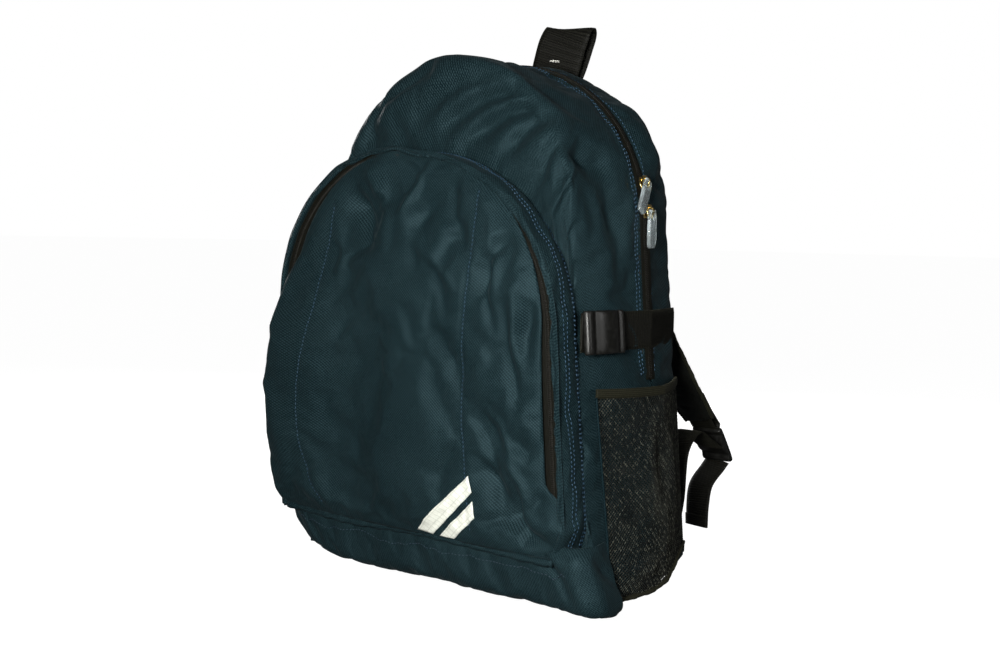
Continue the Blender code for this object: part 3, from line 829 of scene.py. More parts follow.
CROWN_FOLDS = folds_mm(
    (24, 3.8, -110, -45, 362, -80, -45, 386, -30, -45, 412, 35, -45, 412),
    (16, -3, 45, 15, 420, 75, 15, 404),
    (4.5, 2.6, -35, -52, 414, 34, -54, 409, 64, -54, 403, 97, -53, 380),
    (9.5, -7.8, 92, -60, 384, 60, -68, 374, 22, -70, 352),
    (9.5, -7, 70, -60, 396, 35, -68, 386, -5, -70, 362),
    (8, -4.8, 46, -56, 404, 12, -66, 398, -26, -68, 378),
    (8, -7, 98, -60, 376, 80, -68, 362, 60, -70, 342),
    (6, -2.2, -20, -60, 408, -60, -66, 396, -85, -66, 380),
    (10, -5, -75, -60, 392, -85, -66, 372, -80, -68, 350),
    (6.5, 2, 104, -45, 386, 118, -46, 352, 126, -45, 335),
    (11, -12, 118, -48, 352, 128, -32, 338, 130, -12, 342),
    (7, -6, 132, -50, 330, 138, -40, 290, 140, -40, 250),
    (8, -5.5, 128, -20, 318, 138, -14, 280, 142, -16, 240),
    (7.5, 3.5, 146, -50, 250, 148, -35, 205, 152, -38, 175),
    (8, -5.5, 140, 0, 262, 146, -4, 240, 148, 0, 228),
    (8, -4, -128, -45, 330, -138, -38, 290, -142, -35, 250),
    (9, -5, -118, -30, 352, -130, -10, 330, -134, -5, 300),
    (8, -3.5, -146, -20, 255, -150, -8, 215, -152, -15, 180),
    (4, 2.6, 82, -60, 390, 50, -68, 380, 12, -70, 358),
    (4, 2.4, 58, -58, 400, 24, -66, 392, -14, -68, 370),
    (5, -3.4, 112, -58, 360, 100, -66, 340, 92, -68, 318),
    (4, 2.6, 122, -50, 344, 118, -60, 320, 112, -66, 300),
    (4, 2.4, 136, -44, 300, 142, -30, 262, 146, -30, 228),
    (4.5, -3, 134, -8, 310, 140, -6, 286))


def front_rings(count):
    """Control rings of the front cloth, from behind the pocket out and back to the zip."""
    front = arch_ring(skin(FRONT_Y), HEM, FRONT_Y, count)
    seam = arch_ring(POCKET_SEAM, HEM, FRONT_Y, count)
    share = np.linspace(0, 1, count)
    high = np.exp(-((share - 0.5) / 0.17) ** 2)[:, None]

    def between(t, y, lift=0.0):
        ring = seam * (1 - t) + front * t
        ring[:, 1] = y
        return ring - high * [0, lift, 0]
    edge = np.where(front[:, 2] < ZIP_END, 0.0262, ZIP_Y - 0.0062)
    edge = np.convolve(np.pad(edge, 4, "edge"), np.ones(9) / 9, "valid")
    last = arch_ring(skin(ZIP_Y - ZIP_HALF), HEM, 0, count)
    last[:, 1] = edge
    return [between(-0.25, -0.0585), between(-0.05, -0.060, 0.002), between(0.30, -0.061, 0.008),
            between(0.70, -0.061, 0.009), between(0.96, -0.058, 0.005), between(1.03, -0.050),
            *(arch_ring(skin(y), HEM, y, count) for y in (-0.036, -0.012, 0.006)),
            last - [0, 0.004, 0], last]


def front_cloth():
    points = loft(front_rings(300), 56)
    rows = np.linspace(0, 1, len(points))[:, None]
    foot = ease(points[..., 2], 0.003, 0.03)
    points = shaped(points, CROWN_FOLDS, 0.05, 0.0022, 3.1, held(rows, 0.10, 0.90) * foot)
    item = grid_object("front_cloth", points, "navy")
    simulate(item, held(rows, 0.06, 0.93) * foot, 0.025, 0.006)
    return smoothed(item)


def rear_cloth():
    rings = []
    for y, out in ((0.0275, 0.0), (0.032, 0.0008), (0.046, 0.0022), (0.062, 0.0022), (0.074, 0.0008)):
        ring = arch_ring(inset(skin(y), -out), HEM, y, 300)
        if y < 0.03:
            below_zip = ease(ring[:, 2], ZIP_END, ZIP_END - 0.004)
            ring[:, 1] -= 0.0040 * below_zip
            ring[:, 0] *= 1 - 0.006 * below_zip
        rings.append(ring)
    for y, inward in ((0.0795, 0.001), (0.0800, 0.006), (0.0785, 0.012)):
        rings.append(arch_ring(inset(skin(BACK_Y), inward), HEM, y, 300))
    points = loft(rings, 24)
    rows = np.linspace(0, 1, 24)[:, None]
    foot = ease(points[..., 2], 0.003, 0.03)
    points = shaped(points, REAR_FOLDS, 0.04, 0.0016, 8.3, held(rows, 0.2, 0.75) * foot)
    points[..., 2] += 0.0155 * ease(points[..., 1], *FOOT_RISE) * ease(points[..., 2], 0.05, 0.0)
    item = grid_object("rear_cloth", points, "navy")
    simulate(item, held(rows, 0.15, 0.8) * foot, 0.02, 0.004)
    return smoothed(item)


def footprint(front, half, side_y, count, lift):
    """Line round the front of the bag's foot, rounder at its -X corner than at its +X one."""
    line = []
    for sign, corner, reach in ((-1, 0.032, half - lift), (1, 0.016, half + 0.006 + 0.1 * max(lift, 0))):
        arc = [(sign * (reach - 0.004), side_y)]
        for a in np.linspace(0, math.pi / 2, 9):
            arc.append((sign * (reach - corner + corner * math.cos(a)),
                        front + corner - corner * math.sin(a)))
        line += arc if sign < 0 else arc[::-1]
    line = np.array([(x, y, 0.0) for x, y in line])
    run = run_along(line)
    return sampled(np.linspace(0, run[-1], count), run, line)


def boot():
    """Foot band: levels of (front, half width, height) round the bag's foot."""
    levels = ((-0.045, 0.148, 0.0030), (-0.060, 0.1580, 0.0002), (-0.074, 0.1640, 0.0002),
              (-0.0840, 0.1655, 0.0030), (-0.0875, 0.1650, 0.012), (-0.0880, 0.1620, 0.024),
              (-0.0885, 0.1580, 0.034), (-0.0875, 0.1540, 0.0425), (-0.0800, 0.1520, 0.0470))
    rings = []
    for front, half, z in levels:
        ring = footprint(front, half, -0.047, 200, 0.028 * ease(z, 0.040, 0.004) - 0.010)
        ring[:, 2] = z + 0.010 * ease(-ring[:, 0], 0.085, 0.150) * ease(z, 0.030, 0.0)
        right = ease(ring[:, 0], 0.112, 0.142) * ease(z, 0.022, 0.042)
        ring[:, 2] += 0.005 * right
        ring[:, 1] -= 0.0040 * right * ease(-ring[:, 1], 0.060, 0.080)
        rings.append(ring)
    points = loft(rings, 26)
    rows = np.linspace(0, 1, 26)[:, None]
    points = shaped(points, BOOT_FOLDS, 0.05, 0.0016, 5.2, ease(rows, 0.12, 0.3) * ease(rows, 1.0, 0.85))
    item = grid_object("boot", points, "navy")
    free = ease(rows, 0.05, 0.3) * ease(rows, 1.0, 0.85)
    simulate(item, np.repeat(free, 200, axis=1), 0.02, 0.003)
    return smoothed(item)


def base_cloth():
    xs, ys = np.linspace(-1, 1, 90), np.linspace(0, 1, 44)
    y = FRONT_Y + 0.002 + (BACK_Y - FRONT_Y - 0.003) * ys[:, None] + 0 * xs
    half = np.interp(y, DEPTHS, [ring[0] for ring in SKIN]) - 0.0015
    x = xs * half
    rim = np.minimum(np.minimum(half - np.abs(x), y - y.min()), y.max() - y)
    z = 0.0010 + 0.008 * (1 - ease(rim, 0.0, 0.010))
    points = np.stack([x, y, z], axis=-1)
    points[..., 2] += np.maximum(0, rumple(points, 0.05, 0.0012, 2.4)) * ease(rim, 0.0, 0.02)
    points[..., 2] += 0.0145 * ease(y, *FOOT_RISE)
    return solid(grid_object("base_cloth", points, "navy"), 0.0014, 1.0)


# ---------------------------------------------------------------- front pocket
POCKET_FOLDS = folds_mm(
    (4.5, -4.2, 95, -98, 286, 89, -100, 241, 92, -100, 197, 104, -100, 160, 117, -98, 166, 125, -96, 181),
    (6, 3.4, 101, -98, 262, 98, -100, 228, 102, -100, 186),
    (5, -3.6, 112, -98, 230, 117, -98, 195),
    (7.5, -4, -70, -93, 314, -55, -96, 292, -39, -98, 275),
    (7, -3.6, 34, -94, 322, 36, -97, 294, 51, -98, 266),
    (6.5, 2.8, 9, -93, 332, -7, -97, 308, -14, -99, 285),
    (6, 3, -57, -92, 333, -34, -96, 308),
    (7.5, -4.5, 90, -95, 282, 74, -98, 262, 66, -98, 232),
    (7, -4.5, 118, -92, 240, 108, -96, 205, 112, -97, 180),
    (8.5, -4.5, 66, -98, 150, 82, -98, 132, 90, -98, 112),
    (10, -6, 74, -97, 110, 90, -97, 85, 104, -95, 58),
    (7, -3.5, 98, -95, 128, 112, -95, 120, 128, -92, 124),
    (5.5, -6, 104, -95, 98, 102, -95, 70, 112, -94, 56, 132, -92, 52),
    (5.5, -4.5, 128, -92, 92, 118, -94, 78, 132, -91, 66),
    (7, 4, 112, -97, 88, 124, -96, 72, 140, -93, 60),
    (8.5, -4.8, -70, -93, 312, -58, -97, 285, -44, -99, 262),
    (9, 2.2, -48, -94, 322, -30, -98, 296, -26, -99, 270),
    (10, -2.8, 22, -94, 312, 10, -98, 285, 18, -100, 255),
    (9, 2.4, -10, -100, 285, 20, -101, 262, 45, -100, 236),
    (8.5, -2.6, 44, -98, 296, 28, -100, 252, 34, -100, 225),
    (9, -2.8, 30, -101, 205, 46, -100, 178, 50, -100, 160),
    (12, -3, -128, -90, 240, -134, -92, 190, -132, -92, 140),
    (6.5, -3.2, -150, -88, 85, -135, -92, 62, -115, -92, 52),
    (9, -2.2, 30, -98, 85, 40, -98, 110, 50, -98, 118),
    (3.5, -2.6, 64, -98, 142, 76, -98, 126, 86, -98, 100),
    (3.5, 2.2, 72, -98, 150, 88, -98, 138, 100, -97, 116),
    (4, -2.8, 68, -98, 112, 82, -98, 94, 88, -97, 70),
    (3.5, 2.4, 96, -97, 112, 106, -96, 96, 108, -95, 76),
    (4, 2.6, 74, -98, 296, 78, -99, 262, 86, -99, 236),
    (3.8, -2.6, 68, -98, 268, 72, -99, 236, 80, -99, 208),
    (4, -2.6, 105, -96, 300, 102, -97, 276),
    (4.5, -2.4, 10, -99, 300, 2, -100, 276, 4, -101, 250),
    (4.2, -2.2, -20, -98, 318, -14, -100, 292, -22, -101, 262),
    (5, 2.4, -88, -94, 286, -80, -97, 262, -82, -98, 240),
    (3.5, -2.4, 70, -98, 62, 88, -97, 66, 100, -96, 60))
PRINCESS_SEAMS = (((-0.094, -0.095, 0.303), (-0.107, -0.099, 0.231), (-0.122, -0.101, 0.163),
                   (-0.124, -0.100, 0.111), (-0.118, -0.098, 0.077), (-0.101, -0.094, 0.050)),
                  ((0.058, -0.096, 0.316), (0.056, -0.100, 0.269), (0.051, -0.102, 0.208),
                   (0.051, -0.100, 0.139), (0.055, -0.098, 0.100), (0.059, -0.095, 0.050)))


SPREAD = ((0.040, 0.0), (0.060, 0.002), (0.085, 0.005), (0.110, 0.009), (0.150, 0.013), (0.200, 0.012),
          (0.240, 0.013), (0.273, 0.014), (0.300, 0.0135), (0.325, 0.012), (0.341, 0.007), (0.349, 0.002))


def spread(points):
    """Push the pocket's stuffed -X side out and forward, most at its rim and not at all at its seam."""
    points = np.array(points, float)
    x, y, z = points[..., 0], points[..., 1], points[..., 2]
    radius, top = POCKET_RIM[1:]
    spring = top - radius
    rise = np.maximum(z - spring, 0.0)
    out = np.stack([x, rise], axis=-1)
    out /= np.maximum(np.linalg.norm(out, axis=-1, keepdims=True), 1e-9)
    straight = POCKET_RIM[0] + (radius - POCKET_RIM[0]) * np.clip(z, 0, spring) / spring
    inside = np.where(z > spring, radius - np.hypot(x, rise), straight - np.abs(x))
    near = ease(-inside, -0.040, -0.004) * ease(-y, 0.060, 0.086) * ease(-x, 0.0, 0.035)
    push = np.interp(z, *zip(*SPREAD)) * near
    points[..., 0] += out[..., 0] * push
    points[..., 2] += out[..., 1] * push
    points[..., 1] -= 0.5 * push
    return points


def tucked(points):
    """Draw the pocket's lower +X corner in, where it is gathered into the foot band."""
    pull_in = ease(points[..., 0], 0.105, 0.148) * ease(points[..., 2], 0.066, 0.040)
    points[..., 0] -= 0.010 * pull_in
    points[..., 1] += 0.004 * pull_in
    return points


def flap_edge(count, depth=-0.0905):
    """The flap's rolled edge: near the rim on the -X side, 15 mm inside it on the +X side."""
    outer = arch_ring(inset(POCKET_RIM, 0.001), POCKET_LOW, depth, count)
    inner = arch_ring(POCKET_MOUTH, POCKET_LOW, depth, count)
    turned = ease(np.linspace(0, 1, count), 0.36, 0.66)[:, None]
    return outer * (1 - turned) + inner * turned


WALL_FOLDS = folds_mm(
    (6, -2.5, 160, -85, 105, 168, -85, 90, 160, -85, 78),
    (6, -2, 165, -90, 66, 160, -88, 50),
    (5, 1.6, 153, -60, 75, 152, -88, 60))
WALL_ARCHES = ((POCKET_SEAM, POCKET_SEAM, -0.0575),
               ((0.1560, 0.1360, 0.3410), (0.1525, 0.1320, 0.3385), -0.0640),
               ((0.1595, 0.1405, 0.3455), (0.1535, 0.1340, 0.3400), -0.0730),
               ((0.1600, 0.1430, 0.3470), (0.1530, 0.1340, 0.3400), -0.0825),
               ((0.1590, 0.1425, 0.3460), (0.1510, 0.1325, 0.3385), -0.0895),
               ((0.1580, 0.1415, 0.3450), (0.1480, 0.1310, 0.3365), -0.0918))


def pocket_wall():
    """Wall of the pocket and the flap it folds into, with its rolled edge."""
    n = 300
    edge = flap_edge(n)
    turned = ease(np.linspace(0, 1, n), 0.36, 0.66)[:, None]
    rings = [arch_ring(left, POCKET_LOW, y, n) * (1 - turned) + arch_ring(right, POCKET_LOW, y, n) * turned
             for left, right, y in WALL_ARCHES]
    rings.append(edge - [0, 0.0005, 0])
    rings += [offset_ring(edge, inward) + [0, behind, 0]
              for inward, behind in ((0.0012, 0.0008), (0.0002, 0.0024), (-0.004, 0.0026))]
    points = tucked(spread(loft(rings, 40)))
    rows = np.linspace(0, 1, 40)[:, None]
    points = shaped(points, WALL_FOLDS, 0.05, 0.0014, 4.4, ease(rows, 0.02, 0.25), -1.0)
    item = grid_object("pocket_wall", points[::-1], "navy")
    free = ease(rows[::-1], 0.0, 0.12) * ease(rows[::-1], 0.92, 0.7)
    simulate(item, np.repeat(free, n, axis=1), 0.015, 0.0025)
    return smoothed(item)


def lid_outline():
    """Outline of the pocket's front cloth in (x, z): inside the zip, and under the flap at the top."""
    count = 240
    share = np.linspace(0, 1, count)
    edge = flap_edge(count)
    high = np.exp(-((share - 0.54) / 0.16) ** 2)
    amount = 0.011 * (1 - high) - 0.003 * high
    closed = ease(edge[:, 2], np.where(edge[:, 0] > 0, 0.080, 0.055), np.where(edge[:, 0] > 0, 0.098, 0.120))
    amount = amount * closed - 0.004 * (1 - closed)
    ring = offset_ring(edge, amount)[:, [0, 2]]
    ring[0, 1] = ring[-1, 1] = POCKET_LOW + 0.001
    return ring


def lid_depth(x, z, gap):
    arch = inset(POCKET_MOUTH, 0.002)
    half = np.array([max(half_width(arch, min(h, arch[2] - 1e-4)), 0.004) for h in np.atleast_1d(z)])
    across = np.clip(x / (half + 0.012), -1, 1)
    middle = (POCKET_LOW + arch[2]) / 2 - 0.01
    along = (z - middle) / (arch[2] - middle + 0.014)
    swell = np.maximum(1 - np.abs(across) ** 2.4, 0) * np.maximum(1 - np.abs(along) ** 2.4, 0)
    return -0.0868 - 0.0035 * (1 - np.exp(-gap / 0.006)) - 0.0115 * swell


BELLY = ((0.040, 0.002), (0.055, 0.010), (0.080, 0.018), (0.106, 0.026), (0.150, 0.030), (0.200, 0.027),
         (0.240, 0.014), (0.268, 0.0))
SAFETY_BARS = (("upper", ((0.0605, 0.0960), (0.0055, 0.0450)), ((0.0640, 0.0835), (0.0215, 0.0435))),
               ("lower", ((0.0645, 0.0765), (0.0280, 0.0430)), ((0.0660, 0.0635), (0.0430, 0.0430))))


def pocket_front():
    outline = lid_outline()
    item = trimmed_sheet("pocket_front_cloth", outline, 0.0036, lid_depth, "navy")
    points = coords(item)
    gap, _, _ = outline_gap(outline, points[:, [0, 2]])
    belly = np.interp(points[:, 2], *zip(*BELLY)) * ease(-points[:, 0], 0.060, 0.110)
    points = tucked(spread(points))
    points[:, 0] -= belly * (gap / 0.012) * np.exp(1 - gap / 0.012)
    points[:, 1] -= 0.55 * belly * (gap / 0.018) * np.exp(1 - gap / 0.018)
    lift = fold_heights(points[None], POCKET_FOLDS)[0] + rumple(points[None], 0.05, 0.0022, 6.6)[0] \
        + rumple(points[None], 0.017, 0.0006, 9.9)[0]
    points[:, 1] -= lift * ease(gap, 0.0, 0.014)
    put_coords(item, points)
    seam_gap = np.full(len(points), 1.0)
    for seam in PRINCESS_SEAMS:
        line = route(seam, 0.003)
        for part in np.array_split(np.arange(len(points)), 12):
            near = np.linalg.norm(points[part][:, None, [0, 2]] - line[None][..., [0, 2]], axis=2).min(axis=1)
            seam_gap[part] = np.minimum(seam_gap[part], near)
    simulate(item, ease(gap, 0.0, 0.012) * (0.35 + 0.65 * ease(seam_gap, 0.001, 0.010)), 0.03, 0.006)
    return smoothed(item)


def pocket_zip():
    """Tape and closed coil between the flap and the pocket's front cloth."""
    n = 320
    middle = offset_ring(flap_edge(n, -0.0868), 0.0055)
    keep = middle[:, 2] > 0.080
    left, right = np.argmax(keep), n - np.argmax(keep[::-1])
    parts = []
    for name, a, b in (("outer", -0.005, 0.0), ("inner", 0.0, 0.0085)):
        columns = [spread(offset_ring(middle, amount)[left:right]) for amount in np.linspace(a, b, 4)]
        parts.append(solid(grid_object(f"pocket_zip_tape_{name}_cloth", columns, "zip_tape"), 0.0008, 0.0))
    chain = coil("pocket_zip_coil", spread(middle[left:right]), np.tile([0, -1.0, 0], (right - left, 1)))
    return (*parts, chain)


def coil(name, line, normals, half=0.0017, pitch=0.0014, lift=0.0007):
    """Closed zip coil: one small rounded block for each tooth along a line."""
    run = run_along(line)
    vertices, faces = [], []
    block = [(-1, -0.36, 0), (1, -0.36, 0), (1, 0.36, 0), (-1, 0.36, 0),
             (-0.75, -0.22, 1), (0.75, -0.22, 1), (0.75, 0.22, 1), (-0.75, 0.22, 1)]
    quads = ((0, 3, 2, 1), (4, 5, 6, 7), (0, 1, 5, 4), (1, 2, 6, 5), (2, 3, 7, 6), (3, 0, 4, 7))
    for at in np.arange(pitch, run[-1] - pitch, pitch):
        p, q = sampled(at, run, line), sampled(at + pitch / 2, run, line)
        up = sampled(at, run, normals)
        ahead = (q - p) / max(np.linalg.norm(q - p), 1e-9)
        up -= ahead * (up @ ahead)
        up /= np.linalg.norm(up)
        across = np.cross(ahead, up)
        base = len(vertices)
        vertices += [tuple(p + across * half * a + ahead * pitch * b + up * lift * (2 * c - 0.3))
                     for a, b, c in block]
        faces += [tuple(base + i for i in quad) for quad in quads]
    mesh = bpy.data.meshes.new(name)
    mesh.from_pydata(vertices, [], faces)
    return link(name, mesh, "coil")


def seam_roll(name, line, radius, look="edge", flat=0.7, sides=8):
    """Bound or rolled seam: a soft flattened tube."""
    line = respace(np.array(line, float), 0.003)
    ahead = unit(np.gradient(line, axis=0))
    side = unit(np.cross(ahead, np.array([0, -1.0, 0.15])))
    up = np.cross(side, ahead)
    step = np.arange(len(line))
    fat = radius * (1 + 0.12 * np.sin(step * 0.9) + 0.08 * np.sin(step * 2.3))
    turns = np.linspace(0, 2 * math.pi, sides + 1)
    points = np.stack([line + side * (fat * math.cos(a))[:, None] + up * (fat * flat * math.sin(a))[:, None]
                       for a in turns], axis=1)
    item = cleaned(grid_object(name, points, look), 1e-6, sides + 1)
    item.data.shade_smooth()
    return item


def bar(name, top, low, surface):
    """Slanted strip of trim laid on the pocket; top and low are its two long edges in (x, z)."""
    rows = []
    for t in np.linspace(0, 1, 7):
        a = np.array(top[0]) * (1 - t) + np.array(low[0]) * t
        b = np.array(top[1]) * (1 - t) + np.array(low[1]) * t
        row = []
        for s in np.linspace(0, 1, 30):
            before = Vector((a[0] + (b[0] - a[0]) * s, -0.13, a[1] + (b[1] - a[1]) * s))
            hit = surface.tree.ray_cast(before, Vector((0, 1, 0)))
            row.append(hit[0] + Vector((0, -0.0007, 0)))
        rows.append(row)
    return solid(grid_object(name, np.array(rows), "reflective"), 0.0009)


# ---------------------------------------------------------------- side pockets
def side_reach(y, z, bulge=0.010):
    across = (y - FRONT_Y) / (BACK_Y - FRONT_Y)
    rise = min(1.0, math.sqrt(max(z - 0.0034, 0.0) / 0.05))
    arch = math.sin(math.pi * min(max(across, 0), 1))
    return half_width(skin(y), z) + 0.0018 + bulge * arch * (0.35 + 0.65 * rise)


def mesh_points(side, rows, columns):
    y, z = np.meshgrid(np.linspace(-0.050, 0.0765, columns), np.linspace(0.0045, 0.160, rows))
    # the front edge runs back towards the foot, and the back foot corner is rounded
    y = y + 0.004 * (1 - (z - 0.0045) / 0.156) * (1 - (y + 0.050) / 0.1265)
    z = z + 0.0235 * ease(y, *FOOT_RISE) * ease(z, 0.06, 0.0)
    x = np.array([[side_reach(a, b) for a, b in zip(r, s)] for r, s in zip(y, z)])
    points = np.stack([side * x, y, z], axis=-1)
    folds = folds_mm(
        (12, 2.5, side * 166, -10, 120, side * 168, 0, 70),
        (11, 3, side * 166, 40, 130, side * 166, 48, 60),
        (10, -3, side * 166, 18, 140, side * 167, 22, 80),
        (9, 2.5, side * 164, -35, 30, side * 167, 10, 22))
    hold = held(np.linspace(0, 1, columns), 0.15, 0.85)[None] \
        * ease(np.linspace(0, 1, rows), 0, 0.12)[:, None]
    lift = (fold_heights(points, folds) + rumple(points, 0.035, 0.0018, 7.7 + side)) * hold
    points[..., 0] += side * lift
    return points


def side_net(side, label):
    """Real netting: diamond cells cut from a fine grid and given thread."""
    rows, columns = 2 * 54 + 1, 2 * 44 + 1
    points = mesh_points(side, rows, columns)
    index = np.arange(rows * columns).reshape(rows, columns)
    faces = [(index[i, j - 1], index[i + 1, j], index[i, j + 1], index[i - 1, j])
             for i in range(1, rows - 1) for j in range(1, columns - 1) if (i + j) % 2]
    made = bmesh.new()
    verts = [made.verts.new(p) for p in points.reshape(-1, 3)]
    for face in faces:
        made.faces.new([verts[i] for i in face])
    bmesh.ops.delete(made, geom=[v for v in made.verts if not v.link_faces], context="VERTS")
    item = from_bmesh(f"side_net_{label}", made, "mesh")
    add_modifier(item, "WIREFRAME", thickness=NET_THREAD, use_replace=True, use_even_offset=False,
                 use_boundary=True)
    return bake(item)


def net_edges(side, label):
    """Elastic binding along the mouth, and bindings down the front edge and along the foot."""
    points = mesh_points(side, 40, 80)
    top = points[-1]
    lines = []
    for share in np.linspace(0, 1, 5):
        row = top.copy()
        row[:, 2] += 0.0072 * share - 0.0006 - 0.0012 * np.sin(np.linspace(0, math.pi, len(row)))
        row[:, 0] += side * 0.0005 * (1 - (2 * share - 1) ** 2)
        lines.append(row)
    binding = grid_object(f"elastic_{label}", lines, "binding")
    thicken(binding, 0.0022, 0.0)
    add_modifier(binding, "BEVEL", width=0.0006, segments=2)
    bake(binding)
    roll = seam_roll(f"net_seam_{label}", points[:, 0] + [side * 0.0002, 0, 0], 0.0012)
    foot = seam_roll(f"net_foot_{label}", points[0] + [0, 0, 0.0010], 0.0024, "binding")
    return binding, roll, foot


# ---------------------------------------------------------------- straps and hardware
def side_line(side, start, end, lift, z=STRAP_Z, count=60):
    ys = np.linspace(start, end, count)
    return np.array([(side * (half_width(skin(y), z) + lift), y, z) for y in ys])


def rounded_box(name, size, look, location, width):
    bpy.ops.mesh.primitive_cube_add(size=1.0)
    item = bpy.context.object
    item.name = item.data.name = name
    item.data.transform(Matrix.Diagonal((*size, 1.0)))
    add_modifier(item, "BEVEL", width=width, segments=3)
    bake(item)
    item.data.materials.clear()
    item.data.materials.append(LOOKS[look])
    item.matrix_world = Matrix.Translation(Vector(location))
    bpy.context.view_layer.update()
    return item


LOCK_PROFILE = ((-0.500, 0.0000), (-0.480, 0.0030), (-0.430, 0.0047), (-0.360, 0.0047), (-0.300, 0.0028),
                (-0.250, 0.0022), (-0.200, 0.0038), (-0.080, 0.0062), (0.080, 0.0068), (0.230, 0.0058),
                (0.310, 0.0036), (0.350, 0.0026), (0.400, 0.0044), (0.460, 0.0042), (0.490, 0.0024),
                (0.500, 0.0000), (0.480, -0.0022), (0.0, -0.0022), (-0.480, -0.0022))


def lock(name, length, width, centre, turn):
    """Moulded ladder lock: one closed glossy body with a round bar at each end and a swollen middle."""
    middle = np.linspace(-1, 1, 13)
    across = np.concatenate([[-1, -1], middle, [1, 1]])
    size = np.concatenate([[0.02, 0.55], 1 - 0.10 * np.abs(middle) ** 6, [0.55, 0.02]])
    half = width / 2 + 0.0016
    loop = np.array([(y * length, z) for y, z in LOCK_PROFILE + LOCK_PROFILE[:1]])
    last = len(size) - 1
    rows = [[(half * a * (1 if 0 < k < last else 0.97), y * (0.86 + 0.14 * g), z * g) for y, z in loop]
            for k, (a, g) in enumerate(zip(across, size))]
    item = cleaned(grid_object(name, rows, "black_plastic"), 2e-5, 40)
    return placed(smoothed(item, 2), centre, turn)


def slider(name, centre, turn):
    """Zip slider: two waisted plates, the post between them and the crown that holds the pull."""
    pieces = []
    half_outline = ((-0.5, 0.28), (-0.25, 0.42), (0.15, 0.50), (0.5, 0.36))
    outline = [(z, -y) for z, y in half_outline] + list(half_outline[::-1])
    for height, long in ((-0.0016, 0.0100), (0.0016, 0.0112)):
        made = bmesh.new()
        verts = [made.verts.new((height - 0.0006, y * 0.0088, -z * long)) for z, y in outline]
        made.faces.new(verts)
        grown = bmesh.ops.extrude_face_region(made, geom=made.faces[:])
        top = [g for g in grown["geom"] if isinstance(g, bmesh.types.BMVert)]
        bmesh.ops.translate(made, verts=top, vec=(0.0013, 0, 0))
        bmesh.ops.recalc_face_normals(made, faces=made.faces)
        plate = from_bmesh(f"{name}_plate", made, "brass")
        add_modifier(plate, "BEVEL", width=0.0004, segments=3, limit_method="ANGLE", angle_limit=0.6)
        pieces.append(bake(plate))
    pieces.append(rounded_box(f"{name}_post", (0.0034, 0.0018, 0.0028), "brass", (0, 0, 0.0030), 0.0004))
    arch = [(0.0018 + 0.0034 * math.sin(a), 0, 0.0036 * math.cos(a))
            for a in np.linspace(0.05, math.pi - 0.05, 15)]
    pieces.append(webbing(f"{name}_crown", arch, 0.0026, 0.0011, "brass", (0, 1.0, 0), 0.0016, 7))
    return placed(merged(name, pieces), centre, turn)


def pull(name, centre, turn):
    """Clear moulded pull with bevelled faces and a window for the crown."""
    made = bmesh.new()
    outer = ((0.0038, 0.0012), (0.0052, -0.0040), (0.0052, -0.0265), (0.0036, -0.0292))
    inner = ((0.0022, -0.0012), (0.0028, -0.0040), (0.0028, -0.0062), (0.0018, -0.0070))

    def ring(half_loop, x, s):
        loop = [(-half_loop[0][0], half_loop[0][1]), *half_loop]
        loop += [(-y, z) for y, z in half_loop[:0:-1]]
        middle = np.mean(loop, axis=0)
        return [made.verts.new((x, *(middle + (np.array(p) - middle) * [s, 1 - (1 - s) * 0.35])))
                for p in loop]
    rings = [(ring(outer, x, shrink), ring(inner, x, 2 - shrink if shrink < 1 else 1.0))
             for x, shrink in ((-0.0017, 0.80), (-0.0009, 1.0), (0.0009, 1.0), (0.0017, 0.80))]
    pairs = [(i, (i + 1) % 8) for i in range(8)]
    for (a, b), (c, d) in zip(rings, rings[1:]):
        for i, j in pairs:
            made.faces.new((a[i], a[j], c[j], c[i]))
            made.faces.new((b[j], b[i], d[i], d[j]))
    for a, b in (rings[0], rings[-1]):
        for i, j in pairs:
            made.faces.new((a[i], b[i], b[j], a[j]))
    bmesh.ops.recalc_face_normals(made, faces=made.faces)
    item = from_bmesh(name, made, "clear_plastic")
    add_modifier(item, "BEVEL", width=0.0003, segments=2, limit_method="ANGLE", angle_limit=0.4)
    return placed(bake(item), centre, turn)


def zip_point(angle, outward):
    radius, top = skin(ZIP_Y)[1:]
    reach = radius + outward
    return Vector((reach * math.cos(angle), ZIP_Y, top - radius + reach * math.sin(angle)))


def main_zip():
    n = 420
    line = arch_ring(inset(skin(ZIP_Y), 0.0004), ZIP_END + 0.001, ZIP_Y, n)
    normals = line - offset_ring(line, 1.0)
    made = {}
    for label, way in (("front", -1), ("rear", 1)):
        rows = [line + [0, way * d, 0] - normals * s for d, s in
                ((0.0002, 0.0), (0.003, 0.0), (0.006, 0.0006), (0.0085, 0.0012))]
        made[label] = solid(grid_object(f"main_tape_{label}", rows, "zip_tape"), 0.0008, 0.0)
        made[f"coil_{label}"] = coil(f"main_coil_{label}", line + [0, way * 0.0011, 0], normals, 0.0012)
    return made


HANDLE_TURN = 0.28
HANDLE_ROUTE = ((0.003, 0.0806, 0.413), (0.003, 0.0812, 0.422), (0.005, 0.0800, 0.4330),
                (0.009, 0.0785, 0.4490), (0.013, 0.0815, 0.4605), (0.014, 0.0880, 0.4625),
                (0.011, 0.0930, 0.4540), (0.007, 0.0940, 0.4380), (0.004, 0.0920, 0.4250),
                (0.003, 0.0855, 0.4185), (0.003, 0.0835, 0.413))


